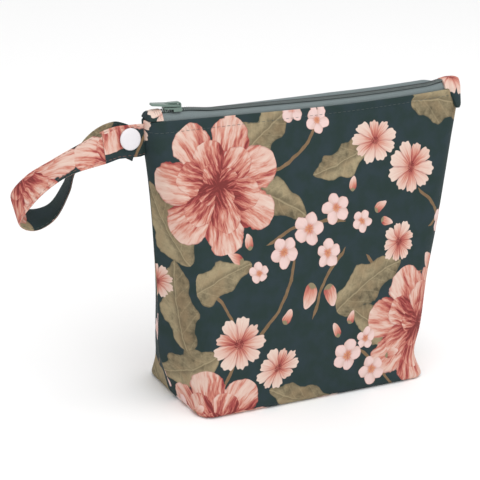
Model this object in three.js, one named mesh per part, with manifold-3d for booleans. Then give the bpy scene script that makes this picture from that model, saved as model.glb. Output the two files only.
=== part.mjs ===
// A waterproof pouch with a boxed base, a zip along its top and a looped strap closed by a press stud.
// Millimetres. X is the width, Y the depth with the front at -Y, Z the height from the base.

import * as THREE from 'three';
import { mergeVertices } from 'three/addons/utils/BufferGeometryUtils.js';
import ManifoldModule from 'manifold-3d';

const wasm = await ManifoldModule();
wasm.setup();

// Cloth and clearances
const CLOTH = 1.5;
const FIT = 0.3;
const SLOT_CLEAR = 0.6;
const SLOT_DEPTH = 9;
const MERGE = 1e-3;
const CURVE_STEPS = 6;

// Body: one row for each level. The ridge is how far the side seam stands out past the rounded corners
const PANEL_TOP = 162.7;
const BODY_SECTIONS = [
  { z: 0, halfWidth: 75.3, halfDepth: 35, corner: 9, ridge: 0, shift: 0.3 },
  { z: 12, halfWidth: 72.6, halfDepth: 34, corner: 11, ridge: 5.5, shift: -1.4 },
  { z: 28, halfWidth: 75.6, halfDepth: 32, corner: 14, ridge: 9, shift: -0.4 },
  { z: 60, halfWidth: 79.9, halfDepth: 27.5, corner: 15, ridge: 7.5, shift: 0 },
  { z: 90, halfWidth: 85.5, halfDepth: 22, corner: 14.5, ridge: 6.5, shift: 1 },
  { z: 117, halfWidth: 90.8, halfDepth: 16.5, corner: 12.5, ridge: 4.2, shift: 0.8 },
  { z: 135, halfWidth: 94.4, halfDepth: 12.6, corner: 10, ridge: 2.8, shift: 0.4 },
  { z: 150, halfWidth: 97.6, halfDepth: 9, corner: 7.3, ridge: 2, shift: 0 },
  { z: PANEL_TOP, halfWidth: 99.8, halfDepth: 6, corner: 5, ridge: 0.6, shift: -0.3 },
];
const BASE_EDGE = 3.5;
const BASE_SEAM_BOW = 1.5;
const FRONT_BOW = 2;
const WALL_LEVELS = [8, 12, 18, 26, 36, 48, 62, 76, 90, 104, 117, 128, 138, 147, 155, PANEL_TOP];
const EDGE_STEPS = 3;
const SIDE_STEPS = 2;
const CORNER_STEPS = 4;
const FRONT_STEPS = 9;

// Rise of the top edge towards its two ends
const LIFT_LEFT = 0.5;
const LIFT_RIGHT = 4;
const LIFT_START = 110;

// Zip: depths and rises are measured from the middle and from the panels' top edge
const TAPE = 0.9;
const TAPE_PROFILE = [
  { depth: 3.75, rise: -7 },
  { depth: 3.75, rise: -0.4 },
  { depth: 3.3, rise: 0.9 },
  { depth: 2.5, rise: 2.1 },
  { depth: 1.2, rise: 2.9 },
];
const TAPE_HALF_LENGTH = 93;
const TAPE_STEPS = 18;
const CHAIN = { width: 4.5, crown: 3.3, bottom: 3.7, top: 5, pitch: 1.25, notch: 0.35, dip: 0.4 };
const CHAIN_START = -83;
const CHAIN_END = 87.6;

// Slider and pull
const SLIDER = { left: -89.2, right: -79.4, nose: 3.4, wide: 6.6, round: 0.8, flange: -84.2 };
const SLIDER_PLATE = 0.8;
const SLIDER_FLANGE = { thick: 0.8, drop: 1.3 };
const SLIDER_PLATE_RISE = CHAIN.top + FIT;
const BRIDGE = { left: -87.6, right: -78.8, width: 2.2, inside: 1.6, thick: 0.8, roundness: 0.8 };
const POST = { left: -88.6, right: -86.4, width: 1.6 };
const UNDER_PLATE = { rise: 1, thick: 0.8, width: 3.2 };
const HINGE_X = -81;
const PULL = { length: 15.2, eye: 6.9, eyeWidth: 3, ringWidth: 5, tipWidth: 3.2, thick: 1.1, bar: 0.5 };
const BAR_SIDES = 10;
const PULL_RAISE = 5;

// Covers on the zip ends: roof line across the zip, and how it closes towards each end
const TAB_THICK = 1.2;
const TAB_FOOT = 0.45;
const TAB_ROOF = [
  { depth: 5.1, rise: TAB_FOOT },
  { depth: 4.3, rise: 1.7 },
  { depth: 2.9, rise: 3.4 },
  { depth: 1.2, rise: 4.5 },
];
const TAB_LEFT = {
  inner: -91.1,
  outer: -99.9,
  stations: [
    { along: 0, shrink: 1, height: 1 },
    { along: 0.5, shrink: 1, height: 1 },
    { along: 0.75, shrink: 0.92, height: 0.97 },
    { along: 0.92, shrink: 0.72, height: 0.86 },
    { along: 1, shrink: 0.5, height: 0.62 },
  ],
};
const TAB_RIGHT = {
  inner: 88,
  outer: 99.6,
  stations: [
    { along: 0, shrink: 1, height: 1 },
    { along: 0.35, shrink: 1, height: 1.06 },
    { along: 0.65, shrink: 0.93, height: 0.97 },
    { along: 0.85, shrink: 0.75, height: 0.74 },
    { along: 0.96, shrink: 0.55, height: 0.46 },
    { along: 1, shrink: 0.4, height: 0.25 },
  ],
};

// Strap: centre line from the seam, and the lean of its width from upright towards the back, one row for each bend
const STRAP = { width: 17.2, thick: 1.5, steps: 64, tail: -92, seam: -99 };
const STRAP_RING = [
  { width: -0.96, thick: -1 },
  { width: -1, thick: 0 },
  { width: -0.96, thick: 1 },
  { width: 0.96, thick: 1 },
  { width: 1, thick: 0 },
  { width: 0.96, thick: -1 },
];
const TANGENT_STEP = 0.5;
const SNAP_FRONT = { x: -107.9, y: -0.3, z: 152.5, lean: 10 };
const SNAP_FLAT = [5, 5.9];
const SNAP_RISE = 1.3;
const BAND_GAP = 4.6;
const STRAP_LOOP = [
  { x: -129, y: 0.8, z: 147.8, lean: 52, skew: 6 },
  { x: -146, y: 3.5, z: 140.2, lean: 74, skew: 0 },
  { x: -160, y: 5.5, z: 130.5, lean: 62, skew: 0 },
  { x: -167.4, y: 7, z: 119.5, lean: 48, skew: 0 },
  { x: -158, y: 10, z: 112, lean: 67, skew: 2 },
  { x: -145, y: 13, z: 113.7, lean: 84, skew: 9 },
  { x: -136.5, y: 14, z: 125.5, lean: 95, skew: 12 },
  { x: -133.2, y: 12.8, z: 136.5, lean: 95, skew: 16 },
  { x: -126, y: 8.6, z: 146.8, lean: 56, skew: 6 },
];
const STRAP_REAR = [
  { step: -7.4, lift: 2, skew: 10 },
  { step: -5, lift: 1.6, skew: 12 },
  { step: 3.4, lift: -0.8, skew: 14 },
  { step: 5.2, lift: -1.4, skew: 14 },
];

// Press stud
const CAP = { radius: 5.8, rim: 0.7, dome: 1.6 };
const CAP_STEPS = 4;
const STUD = { shaft: 1.5, hole: 1.8, socket: 4.6, rear: 5.6, rearThick: 1.2 };
const ROUND_STEPS = 24;

// Finishes
const FINISH = {
  print: { color: 0x3a4f50, roughness: 0.75, metalness: 0 },
  tape: { color: 0x66777a, roughness: 0.8, metalness: 0 },
  chain: { color: 0x4d5f61, roughness: 0.5, metalness: 0 },
  painted: { color: 0x6f8b7d, roughness: 0.4, metalness: 0.6 },
  snap: { color: 0xf4f2f4, roughness: 0.35, metalness: 0 },
};

const radians = THREE.MathUtils.degToRad;
const lerp = THREE.MathUtils.lerp;

// A closed geometry from triangles of points, facing out
function closedGeometry(points, triangles) {
  const flat = new THREE.BufferGeometry();
  flat.setAttribute('position', new THREE.Float32BufferAttribute(points.flatMap((p) => [p.x, p.y, p.z]), 3));
  flat.setIndex(triangles.flat());
  const merged = mergeVertices(flat, MERGE);
  const index = Array.from(merged.index.array);
  const place = merged.attributes.position;
  const corner = [new THREE.Vector3(), new THREE.Vector3(), new THREE.Vector3()];
  const kept = [];
  let volume = 0;
  for (let i = 0; i < index.length; i += 3) {
    const face = index.slice(i, i + 3);
    if (new Set(face).size < 3) continue;
    face.forEach((vertex, k) => corner[k].fromBufferAttribute(place, vertex));
    volume += corner[0].dot(corner[1].cross(corner[2]));
    kept.push(face);
  }
  merged.setIndex(kept.flatMap((face) => (volume < 0 ? face.toReversed() : face)));
  merged.computeVertexNormals();
  return merged;
}

// A sheet with two faces, given as equal grids of points, closed by a rim on its four sides
function sheetGeometry(outer, inner) {
  const rows = outer.length;
  const columns = outer[0].length;
  const points = [...outer.flat(), ...inner.flat()];
  const far = rows * columns;
  const at = (row, column) => row * columns + column;
  const triangles = [];
  const quad = (a, b, c, d) => triangles.push([a, b, c], [a, c, d]);
  for (let r = 0; r + 1 < rows; r += 1) {
    for (let c = 0; c + 1 < columns; c += 1) {
      const corners = [at(r, c), at(r, c + 1), at(r + 1, c + 1), at(r + 1, c)];
      quad(...corners);
      quad(...corners.toReversed().map((vertex) => vertex + far));
    }
  }
  const rim = [];
  for (let c = 0; c + 1 < columns; c += 1) {
    rim.push([at(0, c + 1), at(0, c)], [at(rows - 1, c), at(rows - 1, c + 1)]);
  }
  for (let r = 0; r + 1 < rows; r += 1) {
    rim.push([at(r, 0), at(r + 1, 0)], [at(r + 1, columns - 1), at(r, columns - 1)]);
  }
  rim.forEach(([a, b]) => quad(a, b, b + far, a + far));
  return closedGeometry(points, triangles);
}

// A bar through a row of equal rings of points, closed by a fan at each end
function ringsGeometry(rings) {
  const sides = rings[0].length;
  const triangles = [];
  const at = (ring, side) => ring * sides + (side % sides);
  for (let r = 0; r + 1 < rings.length; r += 1) {
    for (let s = 0; s < sides; s += 1) {
      triangles.push([at(r, s), at(r, s + 1), at(r + 1, s + 1)], [at(r, s), at(r + 1, s + 1), at(r + 1, s)]);
    }
  }
  for (let s = 1; s + 1 < sides; s += 1) {
    triangles.push([at(0, 0), at(0, s + 1), at(0, s)]);
    triangles.push([at(rings.length - 1, 0), at(rings.length - 1, s), at(rings.length - 1, s + 1)]);
  }
  return closedGeometry(rings.flat(), triangles);
}

function toSolid(geometry) {
  const bare = new THREE.BufferGeometry();
  bare.setAttribute('position', geometry.attributes.position.clone());
  if (geometry.index) bare.setIndex(geometry.index.clone());
  const merged = mergeVertices(bare, MERGE);
  const mesh = new wasm.Mesh({
    numProp: 3,
    vertProperties: new Float32Array(merged.attributes.position.array),
    triVerts: new Uint32Array(merged.index.array),
  });
  return new wasm.Manifold(mesh);
}

function fromSolid(solid) {
  const mesh = solid.getMesh();
  const geometry = new THREE.BufferGeometry();
  geometry.setAttribute('position', new THREE.Float32BufferAttribute(mesh.vertProperties, 3));
  geometry.setIndex(Array.from(mesh.triVerts));
  return geometry;
}

// A box from its low and high corners
function boxBetween(low, high) {
  const size = new THREE.Vector3().subVectors(high, low);
  const middle = new THREE.Vector3().addVectors(low, high).multiplyScalar(0.5);
  return new THREE.BoxGeometry(size.x, size.y, size.z).translate(middle.x, middle.y, middle.z);
}

// Values of a table's columns between its rows, on a smooth curve
function smoothTable(rows, places, columns) {
  const values = rows.flatMap((row) => columns.map((column) => row[column]));
  const curve = new THREE.CubicInterpolant(places, values, columns.length);
  return (place) => {
    const found = curve.evaluate(place);
    return Object.fromEntries(columns.map((column, i) => [column, found[i]]));
  };
}

const bodyColumns = ['halfWidth', 'halfDepth', 'corner', 'ridge', 'shift'];
const bodySection = smoothTable(BODY_SECTIONS, BODY_SECTIONS.map((row) => row.z), bodyColumns);

// Height that the top edge gains at a place along the width
function topLift(x) {
  const half = BODY_SECTIONS.at(-1).halfWidth;
  return (x < 0 ? LIFT_LEFT : LIFT_RIGHT) * (x / half) ** 2;
}

// Points of half a level, from the left seam round the front to the right seam
function halfLevel(z, inset) {
  const section = bodySection(z);
  const a = section.halfWidth - inset;
  const b = section.halfDepth - inset;
  const c = section.corner - inset;
  const points = [];
  for (let i = 0; i < SIDE_STEPS; i += 1) {
    points.push([-a, lerp(-FIT / 2, c - b, i / SIDE_STEPS)]);
  }
  for (let i = 0; i < CORNER_STEPS; i += 1) {
    const angle = (Math.PI / 2) * (i / CORNER_STEPS);
    points.push([c - a - c * Math.cos(angle), c - b - c * Math.sin(angle)]);
  }
  for (let i = 0; i <= FRONT_STEPS; i += 1) {
    points.push([lerp(c - a, a - c, i / FRONT_STEPS), -b]);
  }
  const left = points.slice(0, SIDE_STEPS + CORNER_STEPS);
  points.push(...left.toReversed().map(([x, y]) => [-x, y]));
  const swell = FRONT_BOW * Math.sin((Math.PI * z) / PANEL_TOP);
  const rise = THREE.MathUtils.smoothstep(z, LIFT_START, PANEL_TOP);
  return points.map(([x, y]) => {
    const bow = swell * (y / b) ** 2 * Math.cos((Math.PI * x) / (2 * a)) ** 2;
    const seam = Math.sign(x) * section.ridge * (1 - Math.min(Math.abs(y) / b, 1)) ** 2;
    return new THREE.Vector3(x + seam + section.shift, y - bow, z + rise * topLift(x));
  });
}

// The line of the base seam, where the two halves meet under the base
function baseSeam(rim, height) {
  const reach = rim.at(-1).x;
  return rim.map((_, i) => {
    const x = lerp(-reach, reach, i / (rim.length - 1));
    return new THREE.Vector3(x, BASE_SEAM_BOW * (1 - (x / reach) ** 2) - FIT / 2, height);
  });
}

// One face of a half body: base seam, base, rounded edge, wall
function halfFace(wall) {
  const round = BASE_EDGE - wall;
  const rim = halfLevel(0, BASE_EDGE).map((p) => p.setZ(wall));
  const rows = [baseSeam(rim, wall), rim];
  for (let i = 1; i <= EDGE_STEPS; i += 1) {
    const angle = (Math.PI / 2) * (i / EDGE_STEPS);
    const z = BASE_EDGE - round * Math.cos(angle);
    rows.push(halfLevel(z, BASE_EDGE - round * Math.sin(angle)).map((p) => p.setZ(z)));
  }
  WALL_LEVELS.forEach((z) => rows.push(halfLevel(z, wall)));
  return rows;
}

// The back half is the front half turned over the seam plane, with the base seam's bow kept
function mirrored(rows) {
  return rows.map((row, r) => row.map((p) => {
    const bow = r === 0 ? 2 * (p.y + FIT / 2) : 0;
    return new THREE.Vector3(p.x, bow - p.y, p.z);
  }));
}

function panelGeometry(turn) {
  const half = new THREE.Vector3(SLOT_DEPTH, STRAP.thick / 2 + SLOT_CLEAR, STRAP.width / 2 + SLOT_CLEAR);
  const middle = new THREE.Vector3(STRAP.seam, 0, SNAP_FRONT.z);
  const slot = boxBetween(middle.clone().sub(half), middle.clone().add(half));
  const panel = sheetGeometry(turn(halfFace(0)), turn(halfFace(CLOTH)));
  return fromSolid(toSolid(panel).subtract(toSolid(slot)));
}

// Points beside a profile in the plane of depth and rise, at a distance along its normals
function offsetProfile(profile, distance) {
  return profile.map((point, i) => {
    const before = profile[Math.max(i - 1, 0)];
    const after = profile[Math.min(i + 1, profile.length - 1)];
    const along = new THREE.Vector2(after.depth - before.depth, after.rise - before.rise).normalize();
    return { depth: point.depth + along.y * distance, rise: point.rise - along.x * distance };
  });
}

function tapeGeometry(side) {
  const face = (distance) => offsetProfile(TAPE_PROFILE, distance).map(({ depth, rise }) => {
    const row = [];
    for (let i = 0; i <= TAPE_STEPS; i += 1) {
      const x = lerp(-TAPE_HALF_LENGTH, TAPE_HALF_LENGTH, i / TAPE_STEPS);
      row.push(new THREE.Vector3(x, side * depth, PANEL_TOP + rise + topLift(x)));
    }
    return row;
  });
  return sheetGeometry(face(TAPE / 2), face(-TAPE / 2));
}

// The closed coil: a ridge and a groove for each tooth
function chainGeometry() {
  const teeth = Math.round((CHAIN_END - CHAIN_START) / CHAIN.pitch);
  const rings = [];
  for (let i = 0; i <= 2 * teeth; i += 1) {
    const x = lerp(CHAIN_START, CHAIN_END, i / (2 * teeth));
    const groove = i % 2;
    const half = CHAIN.width / 2 - groove * CHAIN.notch;
    const crown = CHAIN.crown / 2 - groove * CHAIN.notch;
    const base = PANEL_TOP + topLift(x);
    const top = base + CHAIN.top - groove * CHAIN.dip;
    const bottom = base + CHAIN.bottom;
    rings.push([
      new THREE.Vector3(x, -half, bottom),
      new THREE.Vector3(x, half, bottom),
      new THREE.Vector3(x, crown, top),
      new THREE.Vector3(x, -crown, top),
    ]);
  }
  return ringsGeometry(rings);
}

function extruded(shape, depth) {
  return new THREE.ExtrudeGeometry(shape, { depth, bevelEnabled: false, curveSegments: CURVE_STEPS });
}

// Outline of the slider's plate seen from above: a nose that widens to the flanges
function sliderOutline() {
  const wide = SLIDER.wide / 2;
  const nose = SLIDER.nose / 2;
  const { left, right, round, flange } = SLIDER;
  const shape = new THREE.Shape();
  shape.moveTo(left + round, -nose);
  shape.lineTo(flange, -wide);
  shape.lineTo(right, -wide);
  shape.lineTo(right, wide);
  shape.lineTo(flange, wide);
  shape.lineTo(left + round, nose);
  shape.quadraticCurveTo(left, nose, left, nose - round);
  shape.lineTo(left, round - nose);
  shape.quadraticCurveTo(left, -nose, left + round, -nose);
  return shape;
}

function sliderGeometry() {
  const base = PANEL_TOP + topLift(HINGE_X);
  const low = base + SLIDER_PLATE_RISE;
  const skirtLow = low - SLIDER_FLANGE.drop;
  const block = (left, right, width, bottom, top) => toSolid(boxBetween(
    new THREE.Vector3(left, -width / 2, bottom),
    new THREE.Vector3(right, width / 2, top),
  ));
  const plate = toSolid(extruded(sliderOutline(), SLIDER_PLATE).translate(0, 0, low));
  const tail = block(HINGE_X, BRIDGE.right, BRIDGE.width, low, low + SLIDER_PLATE);
  const skirt = block(SLIDER.flange, SLIDER.right, SLIDER.wide, skirtLow, low + SLIDER_PLATE / 2);
  const channelWidth = SLIDER.wide - 2 * SLIDER_FLANGE.thick;
  const past = SLIDER.wide;
  const channel = block(SLIDER.left - past, SLIDER.right + past, channelWidth, skirtLow - past, low);
  const underLow = base + UNDER_PLATE.rise;
  const underTop = underLow + UNDER_PLATE.thick;
  const under = block(POST.left, SLIDER.right, UNDER_PLATE.width, underLow, underTop);
  const post = block(POST.left, POST.right, POST.width, underLow, low + SLIDER_PLATE / 2);
  const bridge = bridgeSolid(low + SLIDER_PLATE);
  return fromSolid(plate.add(tail).add(skirt.subtract(channel)).add(under).add(post).add(bridge));
}

// The bridge that carries the pull, an arch along the slider
function bridgeSolid(foot) {
  const arch = (left, right, height) => {
    const round = height * BRIDGE.roundness;
    const shape = new THREE.Shape();
    shape.moveTo(left, -SLIDER_PLATE / 2);
    shape.lineTo(right, -SLIDER_PLATE / 2);
    shape.lineTo(right, height - round);
    shape.quadraticCurveTo(right, height, right - round, height);
    shape.lineTo(left + round, height);
    shape.quadraticCurveTo(left, height, left, height - round);
    return shape;
  };
  const { left, right, thick, inside, width } = BRIDGE;
  const upright = (shape, depth) => extruded(shape, depth)
    .rotateX(Math.PI / 2)
    .translate(0, depth / 2, foot);
  const whole = toSolid(upright(arch(left, right, inside + thick), width));
  const hole = boxBetween(
    new THREE.Vector3(left + thick, -width, foot),
    new THREE.Vector3(right - thick, width, foot + inside),
  );
  return whole.subtract(toSolid(hole));
}

// The pull lies along -X from its hinge line, which is at the origin
function pullGeometry() {
  const ring = PULL.ringWidth / 2;
  const tip = PULL.tipWidth / 2;
  const shape = new THREE.Shape();
  shape.moveTo(PULL.bar, -ring);
  shape.lineTo(PULL.bar, ring);
  shape.lineTo(-PULL.eye, ring);
  shape.lineTo(-PULL.length, tip);
  shape.lineTo(-PULL.length, -tip);
  shape.lineTo(-PULL.eye, -ring);
  const plate = toSolid(extruded(shape, PULL.thick).translate(0, 0, -PULL.thick / 2));
  const eye = toSolid(boxBetween(
    new THREE.Vector3(-PULL.eye, -PULL.eyeWidth / 2, -PULL.thick),
    new THREE.Vector3(2 * PULL.bar, PULL.eyeWidth / 2, PULL.thick),
  ));
  const barLength = (PULL.eyeWidth + PULL.ringWidth) / 2;
  const bar = toSolid(new THREE.CylinderGeometry(PULL.bar, PULL.bar, barLength, BAR_SIDES));
  return fromSolid(plate.subtract(eye).add(bar));
}

// A cover over a zip end: a roof over the tapes that turns down and closes at the side seam
function tabGeometry({ inner, outer, stations }) {
  const face = (distance, end) => {
    const half = offsetProfile(TAB_ROOF, distance);
    const left = half.map(({ depth, rise }) => [-depth, rise]);
    const right = half.toReversed().map(({ depth, rise }) => [depth, rise]);
    return stations.map(({ along, shrink, height }) => {
      const x = lerp(inner, end, along);
      const foot = PANEL_TOP + topLift(x) + TAB_FOOT;
      return [...left, ...right].map(([depth, rise]) => {
        const roof = Math.max(rise - TAB_FOOT, 0) * height;
        return new THREE.Vector3(x, depth * shrink, foot + roof);
      });
    });
  };
  const wall = Math.sign(outer - inner) * TAB_THICK;
  return sheetGeometry(face(TAB_THICK / 2, outer), face(-TAB_THICK / 2, outer - wall));
}

// Width direction of the strap for a lean towards the back and a skew towards +X
function strapWidth({ lean, skew }) {
  const a = radians(lean);
  const b = radians(skew);
  return new THREE.Vector3(Math.sin(b), Math.sin(a) * Math.cos(b), Math.cos(a) * Math.cos(b));
}

// Frame of the press stud: its place on the front band, its axis towards the front, the way up
function snapFrame() {
  const up = strapWidth({ lean: SNAP_FRONT.lean, skew: 0 });
  const axis = new THREE.Vector3(-1, 0, 0).cross(up).negate().normalize();
  const place = new THREE.Vector3(SNAP_FRONT.x, SNAP_FRONT.y, SNAP_FRONT.z);
  return { place, axis, up };
}

function strapRows() {
  const { place, axis, up } = snapFrame();
  const flat = (step, behind, lift, skew) => {
    const { x, y, z } = place.clone().addScaledVector(axis, -behind).addScaledVector(up, lift);
    return { x: x + step, y, z, lean: SNAP_FRONT.lean, skew };
  };
  const [near, far] = SNAP_FLAT;
  return [
    { x: STRAP.tail, y: 0, z: SNAP_FRONT.z, lean: 0, skew: 0 },
    { x: STRAP.seam, y: 0, z: SNAP_FRONT.z, lean: 0, skew: 0 },
    ...[far, near, -near, -far].map((step) => flat(step, 0, 0, 0)),
    ...STRAP_LOOP,
    ...STRAP_REAR.map(({ step, lift, skew }) => flat(step, BAND_GAP, lift, skew)),
  ];
}

function strapGeometry() {
  const rows = strapRows();
  const places = [0];
  for (let i = 1; i < rows.length; i += 1) {
    const { x, y, z } = rows[i - 1];
    places.push(places[i - 1] + Math.hypot(rows[i].x - x, rows[i].y - y, rows[i].z - z));
  }
  const band = smoothTable(rows, places, ['x', 'y', 'z', 'lean', 'skew']);
  const length = places.at(-1);
  const centre = (s) => {
    const { x, y, z } = band(THREE.MathUtils.clamp(s, 0, length));
    return new THREE.Vector3(x, y, z);
  };
  const rings = [];
  for (let i = 0; i <= STRAP.steps; i += 1) {
    const s = (length * i) / STRAP.steps;
    const along = centre(s + TANGENT_STEP).sub(centre(s - TANGENT_STEP)).normalize();
    const across = strapWidth(band(s));
    const out = new THREE.Vector3().crossVectors(along, across).normalize();
    rings.push(STRAP_RING.map(({ width, thick }) => centre(s)
      .addScaledVector(across, (width * STRAP.width) / 2)
      .addScaledVector(out, (thick * STRAP.thick) / 2)));
  }
  const hole = new THREE.CylinderGeometry(STUD.hole, STUD.hole, 4 * BAND_GAP, ROUND_STEPS / 2);
  return fromSolid(toSolid(ringsGeometry(rings)).subtract(toSolid(placeOnSnap(hole, 0))));
}

// Turn a geometry whose axis is Y onto the press stud's axis, at a distance in front of the front band
function placeOnSnap(geometry, ahead) {
  const { place, axis, up } = snapFrame();
  const turn = new THREE.Quaternion().setFromUnitVectors(new THREE.Vector3(0, 1, 0), axis);
  const at = place.clone().addScaledVector(axis, ahead).addScaledVector(up, SNAP_RISE);
  return geometry.applyQuaternion(turn).translate(at.x, at.y, at.z);
}

function capGeometry() {
  const { radius, rim, dome } = CAP;
  const profile = [new THREE.Vector2(0, 0), new THREE.Vector2(radius, 0)];
  for (let i = 0; i <= CAP_STEPS; i += 1) {
    const angle = (Math.PI / 2) * (i / CAP_STEPS);
    profile.push(new THREE.Vector2(radius * Math.cos(angle), rim + (dome - rim) * Math.sin(angle)));
  }
  profile.at(-1).x = 0;
  const front = STRAP.thick / 2 + FIT;
  return placeOnSnap(new THREE.LatheGeometry(profile, ROUND_STEPS), front);
}

function studGeometry() {
  const band = STRAP.thick / 2;
  const rear = -band - FIT;
  const socketLow = band + FIT;
  const socketHigh = BAND_GAP - band - FIT;
  const profile = [
    [0, rear - STUD.rearThick],
    [STUD.rear, rear - STUD.rearThick],
    [STUD.rear, rear],
    [STUD.shaft, rear],
    [STUD.shaft, socketLow],
    [STUD.socket, socketLow],
    [STUD.socket, socketHigh],
    [STUD.shaft, socketHigh],
    [STUD.shaft, BAND_GAP + band],
    [0, BAND_GAP + band],
  ].map(([x, y]) => new THREE.Vector2(x, y));
  return placeOnSnap(new THREE.LatheGeometry(profile, ROUND_STEPS), -BAND_GAP);
}

function piece(name, geometry, finish) {
  const mesh = new THREE.Mesh(geometry, new THREE.MeshStandardMaterial(FINISH[finish]));
  mesh.name = name;
  return mesh;
}

const bag = new THREE.Group();
bag.add(piece('front_panel', panelGeometry((rows) => rows), 'print'));
bag.add(piece('back_panel', panelGeometry(mirrored), 'print'));
bag.add(piece('zip_tape_front', tapeGeometry(-1), 'tape'));
bag.add(piece('zip_tape_back', tapeGeometry(1), 'tape'));
bag.add(piece('zip_chain', chainGeometry(), 'chain'));
bag.add(piece('zip_slider', sliderGeometry(), 'painted'));
bag.add(piece('zip_tab_left', tabGeometry(TAB_LEFT), 'print'));
bag.add(piece('zip_tab_right', tabGeometry(TAB_RIGHT), 'print'));
bag.add(piece('strap', strapGeometry(), 'print'));
bag.add(piece('snap_cap', capGeometry(), 'snap'));
bag.add(piece('snap_post', studGeometry(), 'snap'));

const pull = piece('zip_pull', pullGeometry(), 'painted');
const bridgeMiddle = SLIDER_PLATE_RISE + SLIDER_PLATE + BRIDGE.inside / 2;
pull.position.set(HINGE_X, 0, PANEL_TOP + topLift(HINGE_X) + bridgeMiddle);
pull.rotation.y = radians(PULL_RAISE);
bag.add(pull);

export default bag;
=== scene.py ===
"""Looks of a zip-top waterproof pouch: printed cloth, zip, looped strap and press stud."""

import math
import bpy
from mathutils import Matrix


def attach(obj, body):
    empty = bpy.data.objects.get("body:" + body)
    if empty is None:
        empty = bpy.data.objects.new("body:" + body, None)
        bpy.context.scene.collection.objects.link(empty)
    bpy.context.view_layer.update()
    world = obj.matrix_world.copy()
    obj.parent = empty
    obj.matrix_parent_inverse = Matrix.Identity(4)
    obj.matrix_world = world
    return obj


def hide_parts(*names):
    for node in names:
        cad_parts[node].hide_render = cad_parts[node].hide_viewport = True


bl_info = {
    "name": "Waterproof Pouch",
    "version": (1, 0, 0),
    "blender": (4, 5, 0),
    "location": "View3D > Sidebar > Pouch",
    "description": "Builds the cloth, zip, strap and press stud of a small waterproof pouch",
    "category": "Object",
}

import bpy
import numpy as np
from mathutils import Matrix, Vector

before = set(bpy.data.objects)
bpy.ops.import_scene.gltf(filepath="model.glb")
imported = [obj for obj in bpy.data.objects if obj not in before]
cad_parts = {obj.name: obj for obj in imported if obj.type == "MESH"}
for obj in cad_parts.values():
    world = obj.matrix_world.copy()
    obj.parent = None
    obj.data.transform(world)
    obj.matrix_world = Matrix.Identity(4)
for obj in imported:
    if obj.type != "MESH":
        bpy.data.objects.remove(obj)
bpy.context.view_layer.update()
MM = 0.001
TAU = 2 * math.pi

# Body sizes in millimetres, with a row for each level and its shift towards +X
CLOTH = 1.5
FIT = 0.3
PANEL_TOP = 162.7
BODY_COLUMNS = ("z", "half_width", "half_depth", "corner", "ridge", "shift")
BODY_SECTIONS = (
    (0, 75.3, 35, 9, 0, 0.3),
    (12, 72.6, 34, 11, 5.5, -1.4),
    (28, 75.6, 32, 14, 9, -0.4),
    (60, 79.9, 27.5, 15, 7.5, 0),
    (90, 85.5, 22, 14.5, 6.5, 1),
    (117, 90.8, 16.5, 12.5, 4.2, 0.8),
    (135, 94.4, 12.6, 10, 2.8, 0.4),
    (150, 97.6, 9, 7.3, 2, 0),
    (PANEL_TOP, 99.8, 6, 5, 0.6, -0.3),
)
BASE_EDGE = 3.5
BASE_SEAM_BOW = 1.5
FRONT_BOW = 2
LIFT_LEFT = 0.5
LIFT_RIGHT = 4
LIFT_START = 110

# Fineness of the cloth meshes
COLUMNS = 170
BASE_ROWS = 9
EDGE_ROWS = 5
WALL_STEP = 1.6
FOLD_ROWS = 5
OUTLINE_FINE = {"side": 14, "corner": 18, "front": 90}

# Soft dents of the panels: place on the flat cloth, reach each way and depth inwards
DENT_COLUMNS = ("u", "v", "reach_u", "reach_v", "depth")
FRONT_DENTS = (
    (-58, 118, 20, 26, 0.9),
    (20, 96, 46, 15, 0.7),
    (66, 52, 15, 40, 0.9),
    (-30, 40, 38, 20, -0.6),
    (70, 18, 14, 12, 1.1),
    (-74, 22, 11, 20, 0.9),
)
BACK_DENTS = (
    (46, 110, 26, 24, 0.8),
    (-16, 78, 42, 16, 0.7),
    (-64, 40, 15, 34, 0.9),
    (30, 30, 34, 18, -0.6),
)

# Shallow waves of the panels: depths, lengths each way and starts
WAVE_BROAD = {"depth": 0.22, "u": 17, "v": 23, "start_u": 1.3, "start_v": 0.7}
WAVE_FINE = {"depth": 0.14, "u": 9, "v": 13}

# Where the waves and dents die out: distance from the side seams, and heights at the foot and the top
CALM_SIDE = (0, 9)
CALM_FOOT = (2, 16)
CALM_TOP = (PANEL_TOP - 14, PANEL_TOP - 3)

# Tuck along the side seams: depth, distance from the seam and heights over which it grows
SEAM_TUCK = {"depth": 0.45, "side": (0.2, 1.8), "foot": (0, 6)}

# Top stitching: places along the width, drops below the panels' top edge, and the groove and pucker it makes
STITCH_PLACES = (-90, 0, 90)
STITCH_DROPS = (5.7, 3.9, 3.3)
STITCH_MARGIN = 3
STITCH_GROOVE = {"depth": 0.3, "reach": 1.1, "side": (1, 4)}
STITCH_PUCKER = {"depth": 0.1, "pitch": 7.5, "below": 4, "reach": 5}

# One stitch: rings and sides, rise and sink in radii of the thread, and squares of its girth and taper
STITCH = {"rings": 7, "sides": 6, "rise": 0.75, "sink": 1.5, "girth": 1.02, "taper": 0.7}

# Zip: depths from the middle and rises from the panels' top edge
TAPE = 0.9
TAPE_PROFILE = ((3.75, -7), (3.75, -0.4), (3.3, 0.9), (2.5, 2.1), (1.2, 2.9))
TAPE_LEANING = {
    "front": ((3.75, -7), (3.75, -0.9), (3.4, 0.4), (2.7, 1.4), (1.6, 2)),
    "back": ((3.75, -7), (3.75, 0.9), (3.6, 3.2), (2.8, 4.7), (1.8, 3.4)),
}
TAPE_HALF_LENGTH = 93
TAPE_FINE = {"along": 150, "across": 18}

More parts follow.
